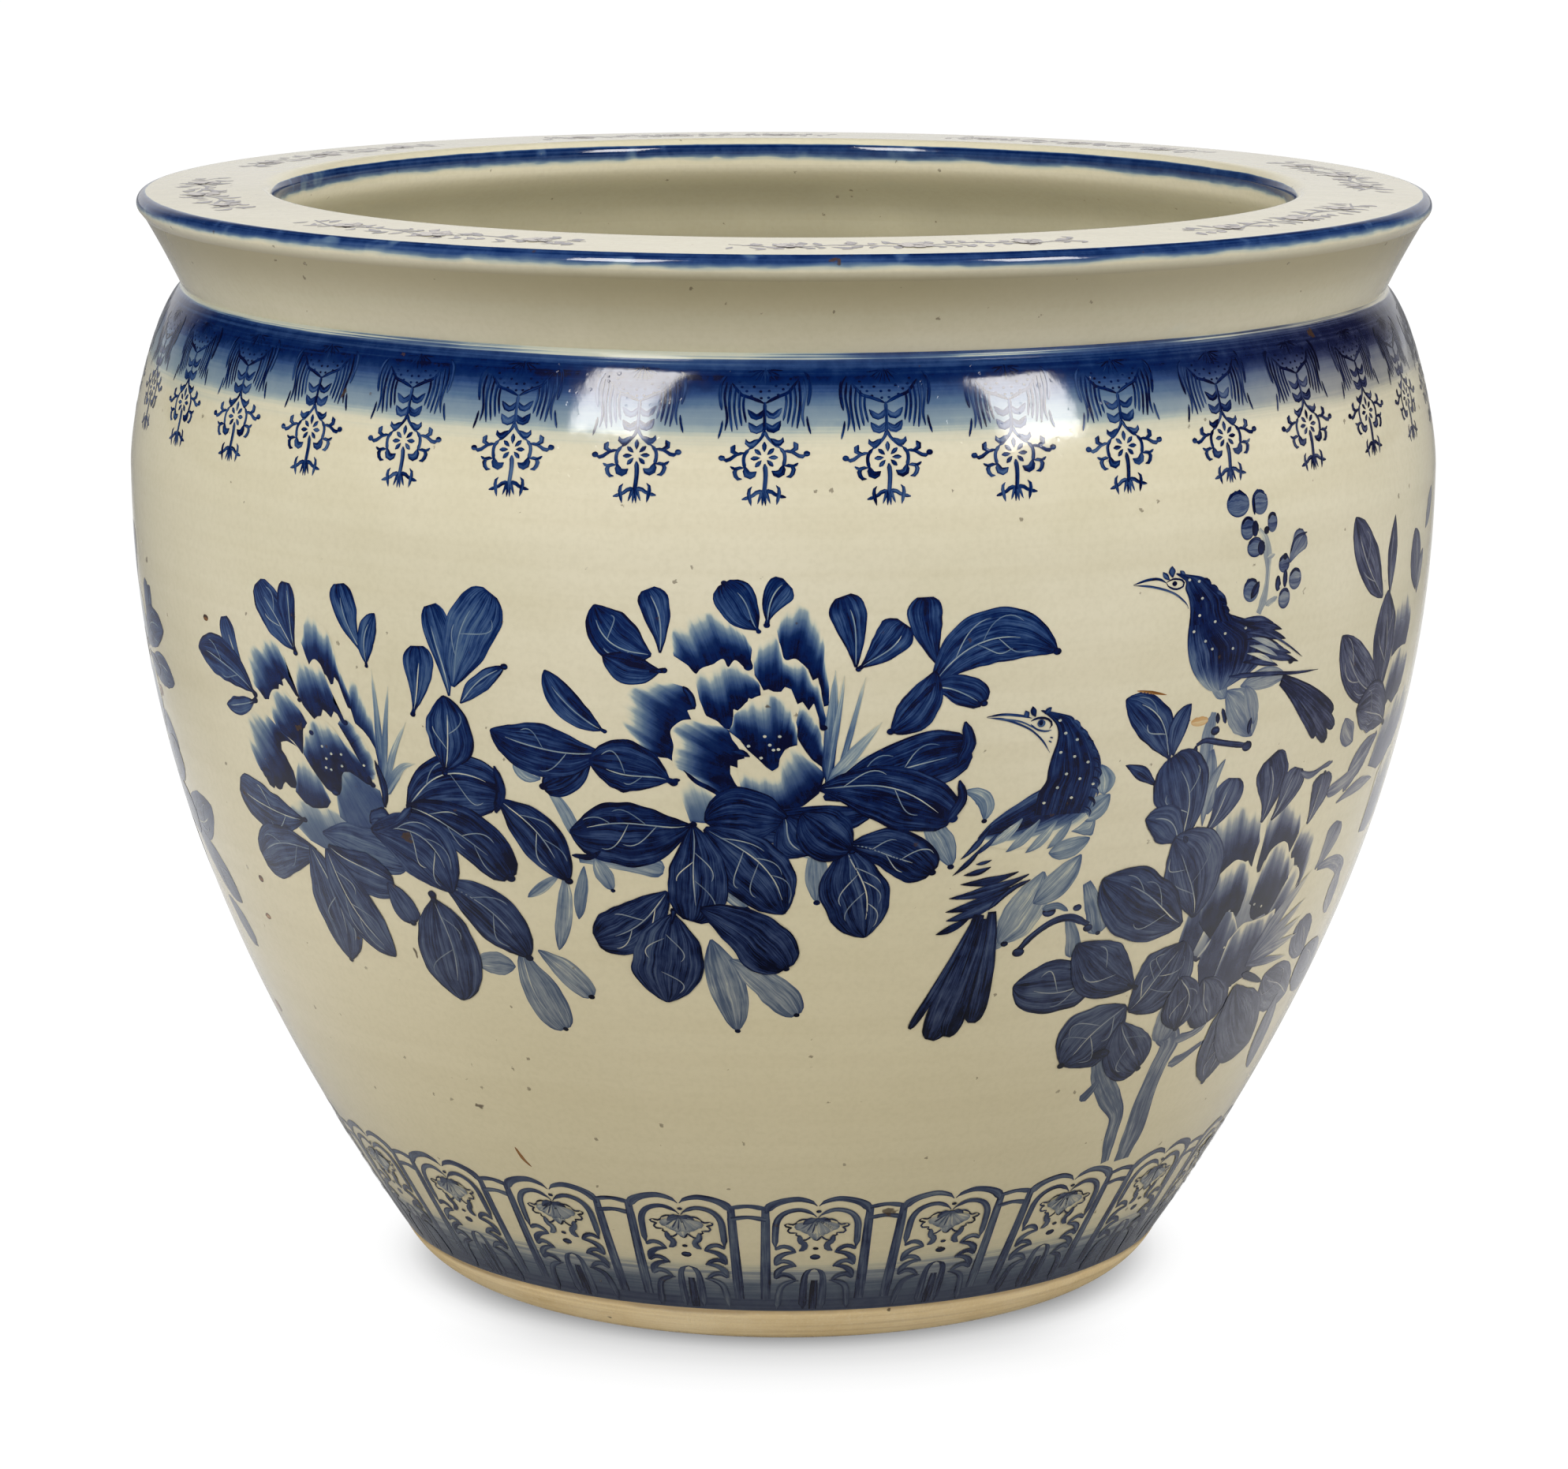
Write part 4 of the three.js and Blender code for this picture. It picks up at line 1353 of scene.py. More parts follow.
def left_lower_leaves(painting):
    painting.leaves([
        (-29.3, 258, -25, 257, 11, 0.05, "plump", 0.34),
        (-24.2, 249, -21, 285, 17, -0.03, "square", 0.38, 1, 1.2),
        (-22.4, 248, -17.8, 268, 11, 0.05, "square", 0.34, 1, 1.4),
        (-18.8, 212, -20.3, 247, 7, 0.03, "plump", 0.34), (-17, 208, -18, 232, 5.5, 0, "plump", 0.34),
        (-19.4, 213, -22.6, 224, 4.5, 0, "plump", 0.32),
    ])
    painting.leaves([
        (-44.4, 209, -34.6, 216, 19, 0.04, "square", 0.66),
        (-46.8, 205, -56.2, 197, 21, 0.08, "square", 0.86, 2, 0, 1.4),
        (-45.8, 218, -55.4, 229, 23, -0.04, "square", 0.8, 2),
        (-46.6, 216, -45.4, 268, 25, 0.06, "plump", 0.8, 3, 1.3),
        (-44, 214, -36.6, 226, 20, -0.1, "square", 0.82, 1),
        (-44.4, 216, -38.7, 261, 22, -0.06, "plump", 0.8, 4),
        (-37.4, 226, -35.4, 243, 13, 0.05, "square", 0.84, 0, 1.6),
        (-38, 200, -35.4, 199, 12, 0.1, "plump", 0.86),
        (-33.4, 190, -23.9, 180, 27, 0.14, "square", 0.88, 2),
        (-33.6, 190, -24, 216, 22, 0.13, "square", 0.92, 4, 2.2),
        (-38, 203, -30.2, 226, 29, 0.2, "plump", 0.84, 4),
        (-32.4, 230, -31.8, 277, 31, 0.02, "plump", 0.82, 5, 0, 2),
        (-31, 222, -23.4, 252, 23, 0.1, "plump", 0.86, 2, 1.8),
        (-29, 172, -28.6, 141, 21, -0.08, "plump", 0.9, 2, 0, 1.4),
        (-24.2, 182, -18.5, 215, 19, 0.06, "plump", 0.93, 3, 1.8),
    ], load=0.03)
    painting.trails([
        ((-24.3, 168, -23.9, 178, -24.6, 188), [2.5, 4.5, 3.5], 0.98),
        ((-33, 190, -35, 198, -38, 203), [4, 3.4, 4], 0.85),
    ])


def centre_head(painting):
    painting.petals([
        ((-7.6, 186.5, -6.2, 187, -5.2, 184, -4.2, 180), (-8.6, 171, -7, 170.5, -5.8, 174, -4.6, 177), 0.5,
         0.1),
        ((-7.9, 131, -7.2, 136, -7, 140, -7.6, 140.5, -7.2, 145, -7.9, 144.5, -8.1, 149, -8.4, 149.5,
         -7.9, 153, -7.9, 156, -8, 159, -7.8, 162.5, -8.4, 163, -9.2, 160.3, -10, 160, -10.9, 158),
         (-9, 129.5, -11, 131.5, -12.3, 139, -12.4, 147, -11.9, 153, -11.3, 158)),
        ((-8.6, 119, -7.5, 122.5, -7, 125.5, -6.2, 127, -5.9, 129.5, -5.6, 124, -5, 123.5, -4.7, 121,
         -4.1, 124.3, -3.7, 121, -3.2, 122.5, -2.7, 124.4, -2.3, 122.5, -2.5, 120, -2.4, 116), (-8.7, 117,
         -8.6, 112, -7.8, 107, -6.5, 104.5, -5, 104, -3.9, 107, -3, 111, -2.5, 114)),
        ((-0.3, 112, -0.1, 117, 0.3, 121.3, 0.9, 120, 1.6, 121.5, 2, 123.5, 2.4, 128, 2.8, 127, 3, 131,
         3.3, 138.5, 3.7, 138, 3.7, 133), (-0.5, 107, 0.2, 102, 1, 100.5, 2, 102.5, 2.8, 107, 3.2, 114,
         3.4, 122, 3.7, 130)),
        ((-6.6, 136, -6.1, 142.5, -5.2, 144.5, -4.6, 147.5, -4.1, 148, -3.9, 143, -3.9, 139.5, -3.4, 140.5,
         -2.9, 140, -2.7, 135, -2.2, 136, -1.7, 134, -1.8, 130), (-6.9, 128, -6.3, 126, -5.3, 125,
         -4.6, 122.5, -4.2, 125, -3.6, 122.5, -2.8, 125, -2, 128)),
        ((-2.2, 126, -1.8, 129, -1.5, 132, -1.1, 131.5, -0.7, 132.5, -0.1, 132.5, 0.2, 130.5, 0.7, 131.5,
         1.2, 137.5, 1.6, 136.5, 2.1, 140, 2.5, 137, 2.9, 143, 3, 147.5, 3.6, 148, 3.7, 146), (-2.3, 119,
         -1.7, 114, -0.8, 112.5, -0.2, 116, 0.2, 121, 1, 121.5, 1.8, 124.5, 2.4, 129, 2.9, 131, 3.3, 140)),
        ((-4.3, 148, -4, 152, -3.6, 154.5, -3, 159.5, -3.6, 160.3, -3.6, 163.5, -4.2, 162.5, -4.2, 166,
         -3.8, 170, -3.2, 174, -2.9, 178.5, -3.5, 178.8), (-5, 146.5, -6.5, 145.5, -7.6, 147, -8.3, 150.5,
         -8.2, 156, -8.3, 161, -8, 165, -6.5, 171), 0.97, 0.34, 1.04),
        ((-3.2, 176, -2.4, 180, -1.2, 183, 0.4, 182, 1.8, 179, 3, 174, 3.5, 166), (-3.6, 165, -2.6, 168,
         -1.4, 168.5, -0.4, 166.5, 0.4, 161, 1.1, 156, 1.8, 158), 0.96, 0.12),
        ((1, 147, 1.3, 152, 1.8, 156, 2.4, 160, 3.2, 163, 3.5, 168), (1.4, 138, 2.2, 143, 2.9, 149,
         3.3, 155, 3.5, 160), 0.96, 0.4, 1.1),
        ((-4.3, 148.5, -3.4, 152, -2.8, 156, -2, 159.5, -1.3, 163, -0.8, 164.7, -0.3, 163, -0.2, 159.5,
         0.2, 156, 0.6, 154.8, 1.2, 154), (-4, 146, -3.8, 143, -3.2, 141, -2.6, 139, -1.5, 137.5,
         -0.5, 137.5, 0.4, 140, 0.9, 144, 1.2, 148), 0.98, 0.38, 1.04),
    ])
    painting.blades((3.6, 170), [
        (3.9, 150, 4.2, 124, 5.5, 0.85), (4.6, 165, 6.6, 127, 2.4, 0.62), (5, 162, 8, 145, 5, 0.42),
        (5, 166, 7, 158, 4, 0.4), (4.6, 138, 4.9, 126, 2.6, 0.6),
    ])
    painting.trails([
        ((-7.9, 131, -7.3, 135, -7, 140), [2, 3, 2], 0.98),
        ((-4.1, 156.4, -3.2, 157.4, -2.6, 158.8), [1.2, 3, 1.2], 0.99),
        ((-8, 165, -7, 169.5, -6, 172, -5, 175, -4.2, 178), [1, 1.8, 2, 1.8, 1], 0.9),
    ])
    painting.spots([(-2.7, 122.8, 1.8), (-2.1, 133, 1.8), (3.3, 147, 1.5), (-3.3, 179, 1.4)])
    painting.white_dots(-1.4, 150.5, -0.2, 150.5, -2.7, 154.5, -1, 154, -0.7, 156, -0.3, 155.8, -1.7, 159.3)


def centre_upper_leaves(painting):
    painting.leaves([
        (-2, 108, -4.6, 90, 16, 0.02, "square", 0.88, 1, 1.2, 1),
        (-1.2, 105, 0.4, 90, 12, 0.1, "fan", 0.86, 1, 0, 1.3),
        (-10.4, 119, -15, 100, 19, 0.14, "plump", 0.92, 2),
        (-9.7, 118, -10.6, 93, 12, -0.06, "fan", 0.88, 1),
        (-9.7, 125, -14.4, 120, 12, 0.1, "plump", 0.92, 0, 0, 1.4),
        (-14.6, 150, -19.3, 127, 12, 0.1, "plump", 0.9, 1, 0, 1),
        (5.8, 123, 4.7, 95, 14, -0.04, "fan", 0.84, 1),
        (6.2, 123, 9.6, 106, 15, -0.04, "fan", 0.84, 1, 0, 1.2),
        (12.4, 123, 11.2, 96, 14, 0.05, "fan", 0.84), (12, 131, 22.4, 120, 22, 0.26, "plump", 0.88, 4, 1.8),
        (12, 132, 16.3, 139, 13, 0.14, "square", 0.86, 1, 1.6),
        (12.2, 125, 8.7, 149, 15, 0.12, "plump", 0.9, 0, 1.6),
    ], load=0.04)
    painting.trail((9.2, 146, 10.6, 138, 12.2, 130), [1.6, 2.2, 2.6], 0.92)


def centre_lower_leaves(painting):
    painting.leaves([
        (-20.2, 172, -22.2, 163, 10, 0.1, "plump", 0.32),
        (-20, 173, -17.4, 195, 6, 0.05, "feather", 0.3),
        (-17.4, 205, -10, 208, 9, 0.05, "feather", 0.32),
        (-16, 204, -14.6, 218, 7, 0, "plump", 0.34, 0, 1),
        (-6.2, 238, -4.1, 281, 15, 0.02, "plump", 0.38, 0, 1.2),
        (-4.6, 247, 1.4, 273, 14, 0.06, "square", 0.36, 0, 1.2),
        (2.6, 196, 3, 221, 9, 0.03, "plump", 0.34, 0, 1.4),
        (15, 175, 17, 188, 7, 0.3, "plump", 0.34, 0, 1.2),
        (11.6, 184, 14.4, 207, 10, 0.06, "plump", 0.38, 0, 1.4),
        (-5.4, 210, -3, 224, 9, 0.03, "plump", 0.32, 0, 1.3),
        (0.4, 198, 3.4, 200, 5, 0.03, "plump", 0.32),
    ])
    painting.leaves([
        (-15.8, 160, -20, 175, 13, 0.1, "square", 0.9, 0, 1.8),
        (-14.8, 159, -24.4, 153, 21, 0.1, "plump", 0.94, 2, 0, 1.2),
        (-9.2, 169.5, -15.9, 163, 21, -0.06, "plump", 0.95, 2, 0, 1.8),
        (-7.6, 188, -18, 193, 27, 0.06, "plump", 0.95, 4, 0, 1.4),
        (-5.4, 188, 7.6, 182, 15, -0.04, "plump", 0.93), (0.6, 186, -6.4, 186, 22, -0.1, "plump", 0.93),
        (0.2, 184, 2.4, 200, 22, 0.0, "plump", 0.9, 1), (-6.4, 189, 0.2, 226, 27, 0.06, "plump", 0.88, 5),
        (-7.4, 188, -7.8, 230, 24, 0.06, "square", 0.9, 3),
        (3.4, 176, 15.4, 157, 24, 0.02, "square", 0.95, 3),
        (3, 172, 14.2, 186, 25, 0.08, "square", 0.94, 5, 2.2),
        (1.6, 182, 5.8, 198, 23, -0.05, "plump", 0.95, 2, 2.2),
        (5.6, 196, 12.8, 209, 20, 0.1, "square", 0.91, 3, 1.6),
        (5.4, 197, 7.3, 237, 27, -0.02, "plump", 0.84, 5),
        (-9.8, 217, -16.6, 241, 21, 0.08, "square", 0.88, 3),
        (-9.4, 227, -10.5, 268, 29, -0.02, "plump", 0.86, 5, 0, 1.5),
        (-7, 224, 0.4, 251, 23, 0.08, "square", 0.86, 2, 1.4),
    ], load=0.05)
    painting.trails([
        ((14.8, 146, 15.2, 155, 14.4, 163), [3, 6, 4], 0.98),
        ((14.6, 170, 14.9, 178, 13.8, 187), [2.5, 4.5, 3.5], 0.97),
        ((-9, 169.6, -8.3, 169), [2, 1.6], 0.97),
        ((-18, 203.5, -16.4, 203.8, -15.4, 201), [1.6, 2.8, 1.4], 0.97),
    ])


def right_head(painting):
    painting.petals([
        ((39.6, 256, 41.4, 263, 43, 266, 45, 262), (39.8, 243, 40.8, 238, 42, 240, 43.6, 246), 0.84, 0.4,
         1.2),
        ((42, 262, 46, 268, 50, 268, 54, 258, 56, 246), (43, 246, 46, 236, 50, 232, 54, 230, 58, 232), 0.3,
         0.5, 1.1),
        ((40.8, 218, 41.6, 224.5, 42.1, 226, 42.6, 230, 43.1, 231, 43.6, 229, 44, 226, 44.3, 223, 44.7, 224,
         45.2, 224.5, 45.8, 222, 46.3, 221.5, 46.8, 224, 47.1, 225, 47.1, 219, 47.3, 214), (40.6, 206,
         41.4, 200, 42.6, 198, 44, 199, 45.6, 200, 46.6, 204, 47, 209), 0.93, 0.24),
        ((47.9, 212, 47.9, 226, 48.2, 228.5, 48.6, 228.5, 48.8, 224, 49.5, 222, 50.4, 221, 51.2, 220,
         51.9, 219.5, 52.1, 222, 52.4, 224.5, 52.8, 223, 53.3, 218, 53.5, 215), (47.8, 205, 48.6, 202,
         50, 200.5, 51.5, 203, 52.6, 206, 53.4, 210), 0.93, 0.24),
        ((53.2, 224, 53.4, 226.5, 54, 226.5, 54.4, 230.5, 55.1, 231, 55.3, 235.5, 55.9, 234.5, 56, 239,
         55.9, 244.5, 56.2, 246, 56.6, 243), (53.6, 216, 54.4, 214, 55.6, 216, 56.6, 221, 57.2, 228,
         57.2, 236), 0.92, 0.2),
        ((43.4, 268, 44.6, 279, 46.8, 285, 50.4, 284), (43.4, 246, 45.2, 246, 46.6, 252, 48.4, 260), 0.8,
         0.5, 1.3),
        ((41.6, 246, 42.4, 250, 43.2, 253, 44, 256, 44.4, 252, 45.2, 244, 46.2, 245, 46.9, 248, 47.2, 245,
         47.3, 238), (41.2, 235, 42, 231, 43.4, 227, 44.6, 223.5, 45.6, 224, 46.6, 227, 47.2, 231,
         47.4, 236), 0.95, 0.34, 1.04),
        ((52.3, 258, 52.6, 264, 53.4, 263, 55.6, 250), (54, 234, 55, 236, 55.8, 240, 55.8, 246), 0.9, 0.2),
        ((48.4, 243, 48.8, 244, 49, 248, 49.4, 250.5, 50, 252, 51, 251, 51.8, 250.5, 52.2, 252.5, 52.8, 247,
         53.4, 240, 54, 236), (48.8, 228, 49.4, 223, 51, 221, 51.8, 222, 52.6, 225, 53.4, 228), 0.96, 0.34,
         1.04),
        ((46.4, 284, 48.4, 285, 50.6, 283, 52.6, 280, 54.6, 270), (46.8, 262, 48.4, 256.5, 50, 256, 52, 255,
         53.6, 252), 0.82, 0.45, 1.15),
    ])
    painting.blades((51.6, 275), [
        (54, 257, 56.4, 240, 9, 0.7), (54.6, 254, 58.6, 236, 9, 0.62), (55.4, 262, 59.4, 250, 8, 0.6),
        (55, 268, 60, 259, 8, 0.55), (55, 271, 60.6, 268, 6, 0.6), (55, 276, 60, 278, 4, 0.7),
    ])
    painting.trails([
        ((51.6, 279, 54, 283, 56.5, 287.5), [4, 3.6, 1.4], 0.94),
        ((44.1, 256, 43.6, 260, 42.9, 264), [1, 2, 0.8], 0.2),
    ])
    painting.white_dots(49.3, 244, 50.6, 246, 45.6, 244, 46.6, 262)


def right_leaves(painting):
    painting.leaves([
        (27.4, 219, 29.6, 243, 10, 0.03, "feather", 0.38, 0, 1.2),
        (26, 233, 27.4, 253, 7, 0.05, "feather", 0.34), (41.2, 278, 41.8, 304, 16, 0.04, "square", 0.38),
        (34, 169, 29, 142, 17, -0.1, "plump", 0.86, 2, 0, 1.2),
        (34.4, 168, 35.7, 147, 9, 0.12, "plump", 0.8), (33, 180, 29.6, 169.5, 5.5, -0.05, "blade", 0.88),
        (38.6, 168, 39.2, 196, 7, 0.05, "feather", 0.32), (39.6, 204, 41.9, 182, 16, -0.08, "fan", 0.72, 1),
        (39, 201, 40.4, 173, 5, 0.1, "plump", 0.4),
        (36.9, 207, 34.4, 168, 27, -0.06, "square", 0.84, 2, 0, 1.6),
        (36.6, 207, 32.4, 194, 16, -0.14, "plump", 0.84, 1, 0, 1.2),
        (40.6, 243, 36, 204, 31, -0.12, "plump", 0.84, 3), (39.3, 245, 29, 218, 31, 0.04, "plump", 0.86, 5),
        (31, 265, 21.8, 264, 27, 0.06, "plump", 0.89, 2, 0, 1.8),
        (35.4, 272, 27.6, 247, 24, 0.06, "plump", 0.86, 2, 0, 1.4),
        (35.6, 284, 40.4, 254, 33, -0.1, "plump", 0.82, 5),
        (35.2, 281, 29.2, 307, 33, -0.02, "plump", 0.84, 4, 1.8),
        (35.2, 289, 39.8, 316, 24, -0.08, "square", 0.86, 2, 1.6),
        (45, 276, 48.6, 300, 24, 0.04, "square", 0.78, 1),
        (41.4, 272, 43.4, 299, 22, 0.06, "plump", 0.8, 3, 1.2),
        (46.8, 205, 46.2, 176, 20, -0.12, "fan", 0.78, 1),
        (48.2, 205, 50.8, 184, 15, -0.06, "fan", 0.74, 1),
        (54.6, 212, 55.6, 190, 16, -0.06, "fan", 0.68, 1, 1.2),
        (51.4, 287, 53.4, 335, 27, 0.02, "plump", 0.78, 4, 1.5),
        (51, 284, 61, 322, 31, -0.1, "plump", 0.78, 4),
    ])
    painting.trail((51, 186, 53, 189, 55, 187, 56.6, 186), [1.6, 3.5, 1.8, 3], 0.5)
    painting.blob((33.8, 304), 4.5, 2.4, 0.95)
    painting.trail((37, 204, 37.6, 207), [2, 3], 0.95)


def trunks(painting):
    painting.trails([
        ((42.2, 300, 43.4, 306, 43, 318, 43, 335, 43.7, 352, 43.9, 368), [13, 10, 10, 12, 13, 10.5], 0.44,
         0.9),
        ((44.6, 318, 46.6, 316, 49.6, 310), [7, 4, 2.5], 0.42),
        ((44, 305, 46.6, 304, 48.4, 300), [6, 4, 5], 0.42),
        ((33.6, 306, 35, 317, 37.4, 330, 39.4, 340, 40, 352, 41, 367), [7, 10, 11, 7.5, 7, 5], 0.44, 0.9),
        ((34.8, 318, 34, 324, 33.2, 328), [2, 4.5, 5.5], 0.46),
    ])
    painting.blob((37, 316), 3, 2, 0.75)


def lower_bird(painting):
    painting.leaves([
        (20.6, 224, 19.2, 246, 10, 0.06, "plump", 0.26), (23, 212, 19.6, 243, 17, 0.06, "plump", 0.3),
        (26.4, 206, 22.4, 226, 12, 0.06, "plump", 0.34), (27, 199, 23.2, 204, 9, 0.06, "plump", 0.32),
        (25, 195, 27.2, 188, 17, 0.06, "plump", 0.34), (28.4, 181, 25.8, 190, 10, 0.06, "plump", 0.36),
        (27.2, 168, 27.8, 181, 9, 0.06, "plump", 0.34),
    ])

    def wing(t, s):
        across = (s + 1) / 2
        shade = 0.5 + 0.48 * eased(across / 0.22)
        return np.clip(shade * (1 - eased((across - 0.62 + 0.3 * t) / 0.42)), 0, 0.98)

    painting.filled(
        (23.6, 172, 22.3, 175, 21, 178, 20, 181, 18.8, 184.5, 17.6, 189, 16.7, 194),
        (26.6, 190, 25.4, 194.5, 23.4, 198.5, 21.4, 200.5, 19.6, 201, 18, 199.5, 16.4, 196.5),
        15, wing,
    )

    painting.filled(
        (21.2, 143.4, 22.2, 147, 22.8, 151, 22.9, 156, 22.5, 163, 22.3, 168, 22.2, 173, 21.6, 178,
         21.4, 187),
        (21.4, 143.2, 22.6, 144.6, 24, 146.6, 24.4, 148.6, 25.4, 153, 26, 156.6, 26.6, 161, 27.1, 166,
         27.2, 172, 27, 180, 26.4, 188),
        11, neck_ink(0.90, 0.08, 0.25, 0.72), 48,
    )
    known, sides = (148, 153, 161, 170, 180, 190), (24.3, 25.3, 26.5, 27.1, 27, 26.3)
    neck_feathers(painting, 150 + 4.1 * np.arange(10), known, sides, (-0.5, -1.6, 0.12, 0.4, 0.1, 2.6), 2.2)
    painting.alike([
        (20.4, 188, 17.6, 199, 4), (22, 189, 19.2, 202, 4.4), (23.6, 190, 21, 203, 4.4),
        (25, 190, 23, 202, 4),
    ], 0.06, "blade", 0.3)
    painting.alike([(17.6, 190, 15.2, 204, 2.6), (18.4, 193, 16.2, 203, 2.2)], 0.06, "blade", 0.9)
    painting.alike([
        (17, 199, 14.6, 211, 2.2), (18, 205, 16.6, 206.5, 1.6), (20.6, 211, 15.4, 215, 3.6),
        (21.6, 212.5, 14.5, 221, 4.6), (21.2, 216, 14.3, 227, 5), (19.4, 222, 14.4, 231, 4.6),
        (16.6, 230, 13.6, 237, 3.4), (18, 208, 15.6, 211, 2.6),
    ], 0.05, "blade", 0.93)
    painting.alike([
        (18.6, 228, 18.2, 280, 9.5), (17.4, 229, 14.2, 287, 12), (18, 231, 15.9, 286, 9),
        (17, 231, 12.1, 281, 4),
    ], 0.02, "feather", 0.92, wobble=0.03)
    painting.trails([
        ((21.8, 215, 20, 219, 18.2, 227), [1.5, 2.5, 2], 0.9),
        ((16.6, 144.7, 18, 144.1, 19.5, 145, 20.5, 146.3), [0.5, 1.1, 1.2, 0.8], 0.76),
        ((16.6, 144.9, 18.2, 146.2, 19.6, 148.8, 20.6, 151.5, 21.6, 156, 22.3, 161), [0.5, 1, 0.9, 0.8, 0.8,
         0.6], 0.62),
        ((17.5, 145.5, 19.5, 147.3, 21, 151), [0.5, 0.7, 0.5], 0.45),
        ((20.4, 147.5, 21, 146.4, 21.8, 146.8, 22.3, 149, 22.1, 151), [0.6, 1.0, 1.0, 0.9, 0.6], 0.85),
        ((20.4, 148.6, 21, 151, 21.8, 152, 22.3, 151.6), [0.5, 0.8, 0.8, 0.5], 0.7),
    ])
    painting.blob((21.35, 148.6), 1.7, 1.6, 0.42)
    painting.blob((21.3, 148.4), 0.9, 1.1, 0.98)
    painting.trails([((22.2, 154.6, 22.5, 155), 0.6, 0.6), ((22.1, 156, 22.4, 156.8), 0.6, 0.6)])
    painting.alike([
        (20.2, 146, 19.9, 142.9, 2.4), (20.8, 145.8, 20.5, 141.4, 2.6), (21.6, 145, 22.2, 142.4, 2.2),
    ], 0.05, "blade", 0.86)
    painting.white_dots(23, 148, 23.6, 153.5, 24.7, 156.5, 23.3, 161.3, 24.6, 163.5, 25.9, 166.3, 24, 170.5,
        25.3, 173, 23.3, 176, 26.6, 175.7, 22.2, 182, 24.7, 180.8)
    painting.trail((21.7, 247, 22.8, 241, 24.6, 235.4, 26.4, 234.2, 28.4, 238.4), [3.4, 2.8, 3.2, 3.6, 3],
     0.86, 0.8)
    painting.spots([
        (21.7, 248, 2.6), (24.1, 230.4, 3), (28.4, 240, 2.2), (20.2, 243.5, 1.6), (26.9, 230, 2),
    ], 0.88)
    painting.trail((23.4, 229, 24.8, 228, 26, 231), [3, 3, 1.5], 0.5)


